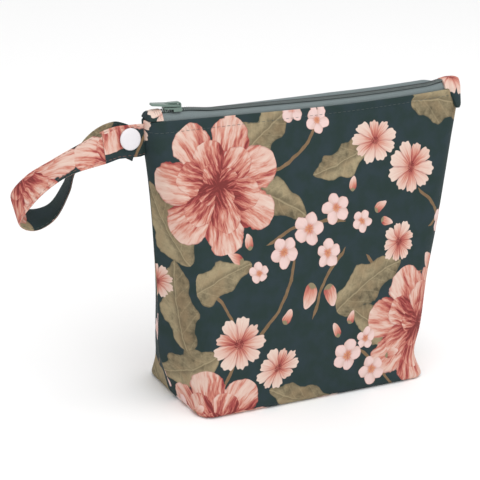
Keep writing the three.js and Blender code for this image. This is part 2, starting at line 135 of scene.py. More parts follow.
# Coil: where it starts parted, closes and ends, sizes of its loops, and the front loop's share of a pitch,
# which places the painted shade on the back loops
CHAIN_PARTED = -90.8
CHAIN_START = -85.6
CHAIN_END = 87.6
CHAIN_LEVEL = 4.35
TOOTH = {
    "pitch": 1.25,
    "reach": 2.05,
    "past": 0.75,
    "short": -0.85,
    "wire": 0.46,
    "swing": 0.09,
    "rise": 0.3,
}
TOOTH_FINE = {"bend": 14, "sides": 6}
FRONT_LOOP = 0.75

# Lean of the zip to the front between its ends: where it grows and fades, and how far the coil goes with it
LEAN_GROWS = (-76, -60)
LEAN_FADES = (76, 90)
BACK_RISES = (-80, 15)
COIL_LEAN = (0, -0.7, -1)

# Covers on the zip ends, by stations: place along the zip, shares of the roof's width and height, front drop
TAB_THICK = 1.2
TAB_FOOT = 0.45
TAB_ROOF = ((5.1, TAB_FOOT), (4.3, 1.7), (2.9, 3.4), (1.2, 4.5))
TAB_FLARE = 0.24
TAB_BACK_DROP = 0.3
TAB_ROOF_STEPS = 12
TAB_WALL_ROWS = 6
TAB_LEFT = (
    (-91.1, 1, 1.04, 0.3),
    (-95, 1, 1, 0.3),
    (-97.8, 0.98, 0.9, 0.3),
    (-98.9, 0.9, 0.8, 0.3),
    (-99.2, 0.5, 0.44, 0.3),
    (-99.2, 0.04, 0.05, 0.3),
)
TAB_RIGHT = (
    (88, 1, 1, 0.3),
    (90.4, 1.06, 1.06, 0.8),
    (92, 1.3, 1.05, 5),
    (93.8, 1.36, 1.02, 10),
    (95.6, 1.32, 1, 11.4),
    (97.6, 1.12, 0.96, 10),
    (99.3, 0.72, 0.86, 7.4),
    (100.3, 0.32, 0.72, 5),
    (100.5, 0.04, 0.62, 3.6),
)
TAB_ROWS = 30
TAB_SEWING = (-92.2, -93.7, -95.2)

# Strap: centre line from the seam, lean of its width from upright towards the back, skew towards +X
STRAP = {"width": 17.2, "thick": 1.5, "tail": -92, "seam": -99, "steps": 230, "across": 24}
STRAP_STITCH = 0.86
STRAP_EDGE = {"round": 10, "press": 0.2, "press_reach": 0.06}
STRAP_FOLD = {"run": 30.5, "edge": 0.1, "height": 0.55, "fade": 9}
SNAP = {"x": -107.9, "y": -0.3, "z": 152.5, "lean": 10, "rise": 1.3, "gap": 4.6}
SNAP_FLAT = (5, 5.9)
STRAP_COLUMNS = ("x", "y", "z", "lean", "skew")
STRAP_LOOP = (
    (-129, 0.8, 147.8, 52, 6),
    (-146, 3.5, 140.2, 74, 0),
    (-160, 5.5, 130.5, 62, 0),
    (-167.4, 7, 119.5, 48, 0),
    (-158, 10, 112, 67, 2),
    (-145, 13, 113.7, 84, 9),
    (-136.5, 14, 125.5, 95, 12),
    (-133.2, 12.8, 136.5, 95, 16),
    (-126, 8.6, 146.8, 56, 6),
)

# Rear end of the strap behind the stud: step along X, lift and skew
STRAP_REAR = ((-7.4, 2, 10), (-5, 1.6, 12), (3.4, -1.9, 14), (5.4, -3, 14))

# Cap of the press stud
CAP = {"radius": 5.8, "foot": 0.25, "rim": 0.7, "dome": 1.6, "fullness": 0.8, "steps": 14, "sides": 64}

# Print: size of its repeat, and where each piece is cut from it
REPEAT = (250, 225)
CUT_FRONT = (0, 0)
CUT_BACK = (118, 62)
CUT_STRAP_OUTSIDE = (106, 204)
CUT_STRAP_INSIDE = (7, 34)
CUT_STRAP_SEWN = (39, 2)
CUT_TAB_LEFT = (69.5, 125)
CUT_TAB_RIGHT = (-2, 209.5)

# Print charts in millimetres on the flat cloth: place, turn in degrees, and radius or half length
COSMOS_PETALS = 9
COSMOS_BACK_ASPECT = 0.8
COSMOS_FRONT_ASPECT = 0.92
COSMOS_BACK = (
    (38, 142, 10, 15.5),
    (-27, 24, 40, 14.5),
    (88, -14, 0, 15),
    (-103, 72, 20, 14),
    (112, 118, 50, 13.5),
)
COSMOS_FRONT = (
    (62, 125, 30, 16.5),
    (-52, 41, 0, 17),
    (4, -12, 15, 15),
    (-112, 160, 5, 15),
    (52, 84, 60, 12.5),
)
BLOSSOM_PETALS = 5
STAMENS = 9
BLOSSOMS = (
    (-8, 99, 0, 9.8),
    (10, 108, 30, 9.2),
    (-24, 88, 50, 9),
    (4, 84, 15, 8.2),
    (27, 99, 60, 6.5),
    (-40, 79, 20, 6),
    (18, 24, 0, 9.5),
    (36, 12, 40, 9),
    (30, 32, 10, 7),
    (86, 92, 0, 8.8),
    (100, 103, 30, 8),
    (96, 80, 50, 6.2),
    (-92, -2, 10, 9),
    (-108, 12, 45, 8.5),
    (-14, 164, 25, 8.5),
    (2, 156, 55, 7.5),
    (118, 18, 5, 8),
)
LEAF_ASPECT = 0.54
BUD_ASPECT = 0.62
LEAVES_BACK = (
    (-92, 108, 118, 25),
    (-30, 116, -24, 23),
    (32, 62, 28, 25),
    (100, 58, 66, 22),
    (-86, 26, 205, 24),
    (88, 154, -12, 24),
    (-12, 4, 158, 21),
    (58, -26, 12, 24),
    (-52, -30, 170, 25),
)
LEAVES_FRONT = (
    (-34, 148, 38, 24),
    (-86, 62, 98, 26),
    (40, 40, 150, 23),
    (98, 16, -38, 24),
    (-62, 76, 24, 20),
    (-120, -24, 60, 22),
    (14, 134, 200, 19),
)
BUDS = (
    (-54, 88, 150, 5),
    (-46, 96, 100, 4.4),
    (40, 106, 30, 4.6),
    (44, 97, -20, 4.2),
    (22, 120, 80, 4.6),
    (10, 40, 110, 4.8),
    (20, 46, 70, 4.2),
    (50, 20, 10, 5),
    (110, 90, 0, 4.6),
    (106, 114, 60, 4.4),
    (-8, 62, 250, 7.5),
    (6, 60, 290, 7),
    (-76, 4, 40, 4.8),
    (-4, 172, 90, 4.6),
    (-22, 52, 60, 4.6),
    (76, 70, 130, 7),
)

# Large blooms: place, turn and share of the full size, and the rings of petals that each one has
BLOOMS = ((-62, 127, 18, 1.0), (68, 34, 60, 1.0), (-66, -8, 100, 0.95), (124, -34, 30, 0.9))
BLOOM_RING_COLUMNS = ("petals", "offset", "length", "aspect", "first", "deep")
BLOOM_RINGS = ((7, 20.5, 16.5, 0.84, 0, 0.08), (6, 12.5, 12.5, 0.86, 25, 0.2), (4, 5, 8, 0.9, 10, 0.36))

# Stems: middle and radius of each one's circle, and the direction and sweep of its arc in degrees
STEM_COLUMNS = ("u", "v", "radius", "middle", "sweep")
STEMS = (
    (-2, 40, 62, 98, 46),
    (52, 40, 58, 150, 40),
    (-70, 86, 52, -30, 70),
    (40, 74, 46, 20, 70),
    (-10, -30, 66, 40, 46),
    (-96, 40, 42, 10, 80),
    (60, 100, 36, 250, 70),
    (100, 60, 40, 100, 60),
    (-40, 176, 46, 300, 60),
)
STEM_HALF_WIDTH = 0.9
PRINT_SWAY = 1.6

# Finishes: relief in metres, the tape's ribs in millimetres, and settings of the moulded ones
WEAVE_RELIEF = 0.00012
TAPE_RELIEF = 0.00015
TAPE_RIB = (0.7, 0.5)
MOULDED_RELIEF = 0.00004
THREAD_RELIEF = 0.00008
COAT_ROUGHNESS = 0.15
BRIGHTEST = 0.95
ENAMEL = {"roughness": 0.36, "grain": 900.0, "variation": 0.12, "metallic": 0.35, "coat": 0.4}
STUD_GLOSS = {"roughness": 0.3, "grain": 400.0, "variation": 0.03, "metallic": 0.0, "coat": 0.2}

# Camera of the view from the front left, from a 480 pixel square picture
PICTURE = 480
FOCAL_PIXELS = 1630
SENSOR = 36
CAMERA = {"azimuth": -30.3, "elevation": 20.5, "roll": 3.6, "distance": 900, "target": (-37.7, 0, 88.6)}

# Soft lights in metres, and the place that they are aimed at
KEY_LIGHT = {"place": (0.1, -0.6, 1.8), "size": 1.6}
FILL_LIGHT = {"place": (-0.3, -1.4, 0.9), "size": 1.2}
LIGHT_AIM = (0, 0, 0.08)


def linear(*screen):
    """A screen colour of 0 to 255 as linear light."""
    shares = [c / 255 for c in screen]
    return tuple(((c + 0.055) / 1.055) ** 2.4 if c > 0.04045 else c / 12.92 for c in shares)


def smoothstep(value, low, high):
    """0 below low, 1 above high and smooth between them."""
    share = np.clip((value - low) / (high - low), 0, 1)
    return share * share * (3 - 2 * share)


def columns(names, row):
    """A table's row by the names of its columns."""
    return dict(zip(names, row))


class Table:
    """Columns of a short table, read between its rows on a smooth curve."""

    def __init__(self, places, rows):
        self.places = np.array(places, float)
        self.rows = np.array(rows, float)
        slope = np.diff(self.rows, axis=0) / np.diff(self.places)[:, None]
        self.slopes = np.vstack([slope[:1], (slope[1:] + slope[:-1]) / 2, slope[-1:]])

    def at(self, where):
        where = np.clip(np.atleast_1d(np.asarray(where, float)), self.places[0], self.places[-1])
        i = np.clip(np.searchsorted(self.places, where, side="right") - 1, 0, len(self.places) - 2)
        span = (self.places[i + 1] - self.places[i])[:, None]
        p = (where - self.places[i])[:, None] / span
        start = (1 + 2 * p) * (1 - p) ** 2 * self.rows[i] + p * (1 - p) ** 2 * span * self.slopes[i]
        end = p * p * (3 - 2 * p) * self.rows[i + 1] + p * p * (p - 1) * span * self.slopes[i + 1]
        return start + end


# Meshes from arrays

def grid_faces(rows, cols, first=0):
    """Quads of a grid of points listed row by row."""
    index = first + np.arange(rows * cols).reshape(rows, cols)
    quads = (index[:-1, :-1], index[:-1, 1:], index[1:, 1:], index[1:, :-1])
    return np.stack(quads, -1).reshape(-1, 4)


def tube_faces(rings, sides, closed=False):
    """Quads round a tube of rings, open at both ends unless it closes on itself."""
    index = np.arange(rings * sides).reshape(rings, sides)
    if closed:
        index = np.vstack([index, index[:1]])
    turned = np.roll(index, -1, axis=1)
    quads = (index[:-1], turned[:-1], turned[1:], index[1:])
    return np.stack(quads, -1).reshape(-1, 4)


def grid_normals(grid):
    """Unit normals of a grid of points: the way across it crossed with the way along it."""
    across = np.gradient(grid, axis=1)
    along = np.gradient(grid, axis=0)
    normal = np.cross(across, along)
    return normal / np.maximum(np.linalg.norm(normal, axis=-1, keepdims=True), 1e-9)


def along_line(points):
    """Length along a line of points, at each point."""
    steps = np.linalg.norm(np.diff(points, axis=0), axis=1)
    return np.concatenate([[0], np.cumsum(steps)])


def resample(points, count):
    """Evenly spaced points on a line, with their lengths from its middle."""
    length = along_line(points)
    even = np.linspace(0, length[-1], count)
    line = np.stack([np.interp(even, length, points[:, k]) for k in range(3)], 1)
    return line, even - length[-1] / 2


def placed(name, data):
    """A new object in the scene."""
    made = bpy.data.objects.new(name, data)
    bpy.context.scene.collection.objects.link(made)
    return made


def make_piece(name, points, faces, finish, flat=None, sharp=50):
    """A smooth mesh object from points in millimetres, riding on the bag."""
    mesh = bpy.data.meshes.new(name)
    mesh.from_pydata((np.asarray(points) * MM).tolist(), [], [list(map(int, face)) for face in faces])
    mesh.shade_smooth()
    mesh.set_sharp_from_angle(angle=math.radians(sharp))
    if flat is not None:
        place = mesh.attributes.new("flat", "FLOAT_VECTOR", "POINT")
        place.data.foreach_set("vector", np.asarray(flat, np.float32).ravel())
    mesh.materials.append(finish)
    made = placed(name, mesh)
    outward(made)
    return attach(made, "bag")


def outward(made):
    """Turns a closed mesh's faces outwards."""
    bpy.context.view_layer.objects.active = made
    made.select_set(True)
    bpy.ops.object.mode_set(mode="EDIT")
    bpy.ops.mesh.select_all(action="SELECT")
    bpy.ops.mesh.normals_make_consistent(inside=False)
    bpy.ops.object.mode_set(mode="OBJECT")
    made.select_set(False)


def shell(outer, inner, fold=None):
    """Points and quads of a sheet of cloth with two faces, closed on its sides.

    fold holds rows of points that round its last edge over.
    """
    rows, cols = outer.shape[:2]
    extra = np.zeros((0, cols, 3)) if fold is None else fold
    points = np.concatenate([outer.reshape(-1, 3), inner.reshape(-1, 3), extra.reshape(-1, 3)])
    far = rows * cols
    index = np.arange(far).reshape(rows, cols)
    faces = [grid_faces(rows, cols), grid_faces(rows, cols, far)[:, ::-1]]
    for edge in (index[0], index[:, 0], index[:, -1]):
        faces.append(np.stack([edge[:-1], edge[1:], edge[1:] + far, edge[:-1] + far], 1))
    chain = [index[-1]]
    chain += [2 * far + r * cols + np.arange(cols) for r in range(len(extra))]
    chain.append(index[-1] + far)
    for near, next_row in zip(chain[:-1], chain[1:]):
        faces.append(np.stack([near[:-1], near[1:], next_row[1:], next_row[:-1]], 1))
    corners = []
    if len(extra):
        corners = [[row[c] for row in chain] for c in (0, -1)]
    return points, [*np.concatenate(faces), *corners]


# Shader expressions

def math_operator(operation, turned=False):
    """A method that adds a Math node, with the two values turned round where the socket comes second."""

    def method(self, *others):
        values = (*others, self) if turned else (self, *others)
        return self.paint.math(operation, *values)

    return method


class Wire:
    """An output socket in an expression. Operators on it add Math nodes."""

    def __init__(self, paint, socket):
        self.paint = paint
        self.socket = socket

    __add__ = __radd__ = math_operator("ADD")
    __mul__ = __rmul__ = math_operator("MULTIPLY")
    __sub__ = math_operator("SUBTRACT")
    __rsub__ = math_operator("SUBTRACT", turned=True)
    __truediv__ = math_operator("DIVIDE")
    __pow__ = math_operator("POWER")
    __abs__ = math_operator("ABSOLUTE")
    __lt__ = math_operator("LESS_THAN")
    __gt__ = math_operator("GREATER_THAN")

    def beside(self, out):
        """Another output of the same node."""
        return Wire(self.paint, self.socket.node.outputs[out])


class Paint:
    """A node tree, written as expressions."""

    def __init__(self, tree):
        self.tree = tree
        self.tree.nodes.clear()

    def node(self, kind, settings=None, values=None, out=0):
        """A node of a type, with its settings made first, then its sockets' values or links."""
        made = self.tree.nodes.new(kind)
        for key, value in (settings or {}).items():
            if key == "stops":
                self.set_stops(made.color_ramp, value)
            else:
                setattr(made, key, value)
        for key, value in (values or {}).items():
            if isinstance(value, Wire):
                self.tree.links.new(value.socket, made.inputs[key])
            else:
                made.inputs[key].default_value = value
        return Wire(self, made.outputs[out]) if made.outputs else made

    @staticmethod
    def set_stops(ramp, stops):
        while len(ramp.elements) < len(stops):
            ramp.elements.new(1)
        for element, (place, colour) in zip(ramp.elements, stops):
            element.position = place
            element.color = (*colour, 1)

    def math(self, operation, *values):
        return self.node("ShaderNodeMath", {"operation": operation}, dict(enumerate(values)))

    def vector(self, operation, *values, out=0):
        return self.node("ShaderNodeVectorMath", {"operation": operation}, dict(enumerate(values)), out)

    def length(self, vector):
        return self.vector("LENGTH", vector, out=1)

    def dot(self, vector, other):
        return self.vector("DOT_PRODUCT", vector, other, out=1)

    def place(self, x, y, z=0.0):
        return self.node("ShaderNodeCombineXYZ", None, {0: x, 1: y, 2: z})

    def step(self, value, low, high):
        """0 below low, 1 above high and smooth between them."""
        values = {0: value, 1: low, 2: high, 3: 0.0, 4: 1.0}
        return self.node("ShaderNodeMapRange", {"interpolation_type": "SMOOTHSTEP"}, values)

    def mix(self, share, low, high):
        """A colour between two, each a Wire or three numbers."""
        ends = [c if isinstance(c, Wire) else (*c, 1) for c in (low, high)]
        settings = {"data_type": "RGBA"}
        return self.node("ShaderNodeMix", settings, {0: share, 6: ends[0], 7: ends[1]}, 2)

    def pick(self, share, low, high):
        """A vector that is low where share is 0 and high where it is 1."""
        return self.node("ShaderNodeMix", {"data_type": "VECTOR"}, {0: share, 4: low, 5: high}, 1)

    def ramp(self, value, stops):
        return self.node("ShaderNodeValToRGB", {"stops": stops}, {0: value})

    def noise(self, vector, scale, detail=2.0, roughness=0.5):
        values = {"Vector": vector, "Scale": scale, "Detail": detail, "Roughness": roughness}
        return self.node("ShaderNodeTexNoise", {"noise_dimensions": "3D"}, values)

    def chance(self, value):
        """A number from 0 to 1 that is steady for each value."""
        return self.node("ShaderNodeTexWhiteNoise", {"noise_dimensions": "1D"}, {"W": value})

    def bump(self, height, distance, strength=1.0):
        values = {"Height": height, "Distance": distance, "Strength": strength}
        return self.node("ShaderNodeBump", None, values)

    def finish(self, **sockets):
        """The surface shader, whose sockets are named with _ for a space."""
        named = {}
        for key, value in sockets.items():
            colour = isinstance(value, tuple) and len(value) == 3
            named[key.replace("_", " ")] = (*value, 1) if colour else value
        surface = self.node("ShaderNodeBsdfPrincipled", None, named)
        self.node("ShaderNodeOutputMaterial", None, {"Surface": surface})


# Print motifs, each drawn on its own unit size

NEAREST = "nearest_motif"
NEAREST_SOCKETS = (
    ("Flat", "INPUT", "NodeSocketVector"),
    ("Near", "INPUT", "NodeSocketVector"),
    ("Reach", "INPUT", "NodeSocketFloat"),
    ("Middle", "INPUT", "NodeSocketVector"),
    ("Share", "INPUT", "NodeSocketVector"),
    ("Across", "INPUT", "NodeSocketVector"),
    ("Near", "OUTPUT", "NodeSocketVector"),
    ("Reach", "OUTPUT", "NodeSocketFloat"),
)
NO_MOTIF = ((9, 9, 0), 99.0)


def from_repeat(paint, flat, middle):
    """The way from a middle to a place on the cloth, in the nearest repeat of the print."""
    limit = (REPEAT[0] / 2, REPEAT[1] / 2, 1)
    away = paint.vector("SUBTRACT", flat, middle)
    return paint.vector("WRAP", away, limit, tuple(-c for c in limit))


def nearest_motif():
    """A node group that looks at one more motif and passes on the nearer of it and the nearest so far."""
    made = bpy.data.node_groups.get(NEAREST)
    if made:
        return made
    made = bpy.data.node_groups.new(NEAREST, "ShaderNodeTree")
    for name, way, kind in NEAREST_SOCKETS:
        made.interface.new_socket(name, in_out=way, socket_type=kind)
    paint = Paint(made)
    inputs = [name for name, way, _ in NEAREST_SOCKETS if way == "INPUT"]
    given = {name: paint.node("NodeGroupInput", out=name) for name in inputs}
    place = paint.vector("MULTIPLY", from_repeat(paint, given["Flat"], given["Middle"]), given["Share"])
    across = paint.dot(place, given["Across"])
    reach = paint.math("MULTIPLY_ADD", across, across, paint.dot(place, place))
    near = paint.pick(reach < given["Reach"], given["Near"], place)
    reach = paint.math("MINIMUM", reach, given["Reach"])
    paint.node("NodeGroupOutput", None, {"Near": near, "Reach": reach})
    return made


class Motif:
    """The nearest motif of a chart: place on it in its own unit size, its turn and its chance."""

    def __init__(self, paint, flat, rows, aspect=1.0):
        near, reach = NO_MOTIF
        flatter = math.sqrt(1 / aspect**2 - 1)
        for u, v, turn, size in rows:
            angle = math.radians(turn)
            values = {
                "Flat": flat,
                "Near": near,
                "Reach": reach,
                "Middle": (u, v, -angle * MM),
                "Share": (1 / size, 1 / size, 1),
                "Across": (-math.sin(angle) * flatter, math.cos(angle) * flatter, 0),
            }
            near = paint.node("ShaderNodeGroup", {"node_tree": nearest_motif()}, values, "Near")
            reach = near.beside("Reach")
        self.turn = paint.dot(near, (0, 0, 1 / MM))
        plain_x = paint.dot(near, (1, 0, 0))
        plain_y = paint.dot(near, (0, 1, 0))
        cos, sin = paint.math("COSINE", self.turn), paint.math("SINE", self.turn)
        self.x = plain_x * cos + plain_y * sin
        self.y = (plain_y * cos - plain_x * sin) * (1 / aspect)
        self.reach = paint.math("SQRT", reach)
        self.chance = paint.chance(self.turn)


class Petals:
    """A flower's petals: number of the petal, place across it from -0.5 to 0.5, and its chance."""

    def __init__(self, paint, motif, count):
        self.angle = paint.math("ARCTAN2", motif.y, motif.x)
        turn = self.angle * (count / TAU) + 0.5
        number = paint.math("FLOOR", turn)
        self.across = turn - number - 0.5
        self.side = abs(self.across)
        ring = paint.math("FLOORED_MODULO", number, float(count))
        self.number = ring + motif.turn * 9
        self.chance = paint.chance(self.number)


class Painter:
    """Draws the print's layers, one over the other."""

    def __init__(self, paint, cloth, flat):
        self.paint = paint
        self.cloth = cloth
        self.flat = flat
        self.soft = paint.noise(flat, 0.1, 2.0)
        self.fine = paint.noise(flat, 0.26, 2.0)
        self.grain = paint.noise(flat, 0.2, 5.0, 0.68)
        self.petal_stops = (
            (0.05, cloth.crimson),
            (0.2, cloth.rose),
            (0.4, cloth.salmon),
            (0.62, cloth.pale),
            (0.95, cloth.cream),
        )

    def cosmos(self, under, rows, aspect):
        """Broad petals with notched tips, dark at the heart and pale at the rim."""
        paint, cloth = self.paint, self.cloth
        motif = Motif(paint, self.flat, rows, aspect)
        petals = Petals(paint, motif, COSMOS_PETALS)
        tip = paint.math("COSINE", petals.across * (TAU * 3)) * 0.03
        rim = 0.74 + 0.2 * petals.chance + 0.12 * self.fine + tip - petals.side**3 * 1.8
        inside = paint.step(rim - motif.reach, -0.012, 0.022)
        lane = paint.place(petals.across * 8 + petals.number * 3, motif.reach * 1.1)
        streak = paint.noise(lane, 1.0, 3.0, 0.6)
        fade = motif.reach * 0.85 + (streak - 0.5) * 1.0 + petals.chance * 0.24
        colour = paint.ramp(fade, self.petal_stops)
        crease = paint.step(petals.side, 0.38, 0.5) * (1.0 - motif.reach * 0.85)
        colour = paint.mix(crease, colour, cloth.rose)
        rib = (1 - paint.step(petals.side, 0.0, 0.05)) * (0.5 - motif.reach * 0.45)
        colour = paint.mix(rib, colour, cloth.salmon)
        ring = paint.math("FRACT", petals.angle * (COSMOS_PETALS / TAU) + motif.reach * 14)
        dots = (ring < 0.42) * (abs(motif.reach - 0.11) < 0.06)
        colour = paint.mix(dots * 0.8, colour, cloth.heart)
        return paint.mix(inside, under, colour)

    def blossoms(self, under, rows):
        """Five round petals, pale, with golden stamens."""
        paint, cloth = self.paint, self.cloth
        motif = Motif(paint, self.flat, rows)
        petals = Petals(paint, motif, BLOSSOM_PETALS)
        angle = petals.across * (TAU / BLOSSOM_PETALS)
        along = motif.reach * paint.math("COSINE", angle)
        across = motif.reach * paint.math("SINE", angle)
        far = (along - 0.56) / (0.4 + 0.05 * petals.chance)
        wide = across * 2.5
        edge = paint.math("SQRT", far * far + wide * wide) + self.fine * 0.3 - 0.15
        inside = paint.math("MAXIMUM", 1 - paint.step(edge, 0.97, 1.03), motif.reach < 0.24)
        lane = paint.place(petals.across * 7 + petals.number * 5, motif.reach * 1.2)
        streak = paint.noise(lane, 1.0, 2.0)
        fade = paint.step(along, 0.0, 0.6) * 0.8 + (streak - 0.5) * 0.7 + petals.chance * 0.16 - 0.04
        stops = ((0.0, cloth.rose), (0.22, cloth.salmon), (0.55, cloth.blossom), (1.0, cloth.petal_light))
        colour = paint.ramp(fade, stops)
        shade = paint.step(petals.across, 0.0, 0.5) * 0.5
        colour = paint.mix(shade, colour, cloth.pale_shade)
        colour = paint.mix(paint.step(edge, 0.8, 1.0) * 0.3, colour, cloth.salmon)
        ray = paint.math("FRACT", petals.angle * (STAMENS / TAU))
        gold = (abs(ray - 0.5) < 0.2) * (abs(motif.reach - 0.14) < 0.09)
        colour = paint.mix(gold * 0.8, colour, cloth.gold)
        return paint.mix(inside, under, colour)

    def leaves(self, under, rows):
        """Oval leaves in two tones, with a pale midrib and side veins."""
        paint, cloth = self.paint, self.cloth
        motif = Motif(paint, self.flat, rows, LEAF_ASPECT)
        x = motif.x
        room = paint.math("MAXIMUM", 1 - x * x, 0.0)
        y = motif.y - room * 0.2
        lobes = 1 + 0.15 * paint.math("COSINE", x * 8.5 + motif.chance * 6)
        half = room**0.6 * (0.84 - x * 0.24) * (0.66 + self.soft * 0.66) * lobes
        edge = half - abs(y)
        inside = paint.step(edge, 0.0, 0.05)
        lit = paint.step(y, -0.35, 0.35) * 0.36 + self.grain * 1.9 - 0.66 + motif.chance * 0.2
        colour = paint.ramp(lit, ((0.08, cloth.leaf_dark), (0.5, cloth.leaf), (0.92, cloth.leaf_light)))
        colour = paint.mix(paint.step(self.soft, 0.4, 0.7) * 0.5, colour, cloth.leaf_brown)
        fold = 1 - paint.step(y, 0.0, 0.3)
        colour = paint.mix(fold * paint.step(y, -0.1, 0.02) * 0.55, colour, cloth.leaf_dark)
        vein = paint.math("FRACT", x * 2.6 - abs(y) * 1.5 + 0.2)
        line = (1 - paint.step(abs(vein - 0.5), 0.0, 0.08)) * 0.22
        colour = paint.mix(line, colour, cloth.vein)
        rib = 1 - paint.step(abs(y), 0.01, 0.05)
        colour = paint.mix(rib * 0.5, colour, cloth.vein)
        rim = 1 - paint.step(edge, 0.02, 0.14)
        colour = paint.mix(rim * 0.45, colour, cloth.leaf_dark)
        return paint.mix(inside, under, colour)

    def buds(self, under, rows):
        """Pointed buds, rosy at the foot, in a small green cup."""
        paint, cloth = self.paint, self.cloth
        motif = Motif(paint, self.flat, rows, BUD_ASPECT)
        room = paint.math("MAXIMUM", 1 - motif.x * motif.x, 0.0)
        half = room**0.5 * (0.9 - motif.x * 0.22)
        inside = paint.step(half - abs(motif.y), 0.0, 0.1)
        lane = paint.place(motif.x * 1.1, motif.y * 5, motif.chance * 9)
        streak = paint.noise(lane, 1.0, 2.0)
        fade = motif.x * 0.42 + streak * 0.7 + motif.y * 0.2 + 0.1
        stops = ((0.0, cloth.rose), (0.32, cloth.salmon), (0.66, cloth.pale), (1.0, cloth.petal_light))
        colour = paint.ramp(fade, stops)
        cup = 1 - paint.step(motif.x + abs(motif.y) * 0.3, -0.62, -0.42)
        colour = paint.mix(cup, colour, cloth.leaf)
        return paint.mix(inside, under, colour)

    def bloom(self, under, row):
        """One ring of broad streaked petals of the large blooms."""
        paint, cloth = self.paint, self.cloth
        ring = columns(BLOOM_RING_COLUMNS, row)
        rows = []
        for u, v, turn, size in BLOOMS:
            for petal in range(ring["petals"]):
                degrees = turn + ring["first"] + petal * 360 / ring["petals"]
                angle = math.radians(degrees)
                offset = ring["offset"] * size
                place = (u + offset * math.cos(angle), v + offset * math.sin(angle))
                rows.append((*place, degrees, ring["length"] * size))
        motif = Motif(paint, self.flat, rows, ring["aspect"])
        x = motif.x
        room = paint.math("MAXIMUM", 1 - x * x, 0.0)
        half = room**0.42 * (0.84 + x * 0.16) * (0.55 + self.soft * 0.6 + self.fine * 0.3)
        edge = half - abs(motif.y)
        inside = paint.step(edge, 0.0, 0.04)
        lane = paint.place(x * 1.1, motif.y * (6.2 - x * 2.2), motif.chance * 23)
        streak = paint.noise(lane, 1.0, 4.0, 0.62)
        shade = paint.step(motif.y, -0.9, 0.7) * 0.24
        fade = streak * 1.7 - 0.52 + x * 0.26 + shade - ring["deep"]
        colour = paint.ramp(fade, self.petal_stops)
        rim = 1 - paint.step(edge, 0.0, 0.12)
        colour = paint.mix(rim * 0.55, colour, cloth.rose)
        return paint.mix(inside, under, colour)

    def stems(self, under):
        """Thin curved stems, each an arc of a circle."""
        paint, cloth = self.paint, self.cloth
        drawn = 0.0
        for row in STEMS:
            stem = columns(STEM_COLUMNS, row)
            radius, middle = float(stem["radius"]), math.radians(stem["middle"])
            ahead = (math.cos(middle), math.sin(middle), 0)
            back = tuple(radius * c for c in ahead)
            away = from_repeat(paint, self.flat, (stem["u"] + back[0], stem["v"] + back[1], 0))
            place = paint.vector("ADD", away, back)
            ring = paint.math("COMPARE", paint.length(place), radius, STEM_HALF_WIDTH)
            on = ring * (paint.dot(place, ahead) > radius * math.cos(math.radians(stem["sweep"] / 2)))
            drawn = paint.math("MAXIMUM", drawn, on)
        colour = paint.mix(self.fine, cloth.stem_dark, cloth.stem)
        return paint.mix(drawn, under, colour)


def toned(colour, share):
    """A lighter or darker tone of a colour."""
    return tuple(min(c * share, BRIGHTEST) for c in colour)


def tinted(colour, shares):
    """A colour whose red, green and blue each change by a share of their own."""
    return tuple(c * share for c, share in zip(colour, shares))


class ClothColours:
    """The print's colours, read from the properties, with the tones worked out from them."""

    def __init__(self, props):
        for key in ("ground", "cream", "pale", "blossom", "salmon", "rose", "leaf", "stem", "gold"):
            setattr(self, key, tuple(getattr(props, key)))
        self.ground_green = tinted(self.ground, (0.86, 0.94, 0.84))
        self.ground_blue = tinted(self.ground, (1.08, 1.06, 1.18))
        self.crimson = toned(self.rose, 0.55)
        self.heart = toned(self.rose, 0.3)
        self.leaf_dark = toned(self.leaf, 0.44)
        self.leaf_light = toned(self.leaf, 1.5)
        self.leaf_brown = tinted(self.leaf, (0.95, 0.78, 0.7))
        self.vein = toned(self.leaf, 1.75)
        self.stem_dark = toned(self.stem, 0.55)
        self.petal_light = toned(self.blossom, 1.1)
        self.pale_shade = toned(self.pale, 0.82)


def flat_place(paint):
    """Place on the flat cloth in millimetres, whose third coordinate is 1 on the printed side."""
    return paint.node("ShaderNodeAttribute", {"attribute_name": "flat"}, None, "Vector")


def solid_place(paint):
    """Place in the solid, in metres."""
    return paint.node("ShaderNodeTexCoord", out="Object")


def tones(paint, share, base, low, high):
    """A colour between two tones of a base colour."""
    return paint.mix(share, toned(base, low), toned(base, high))


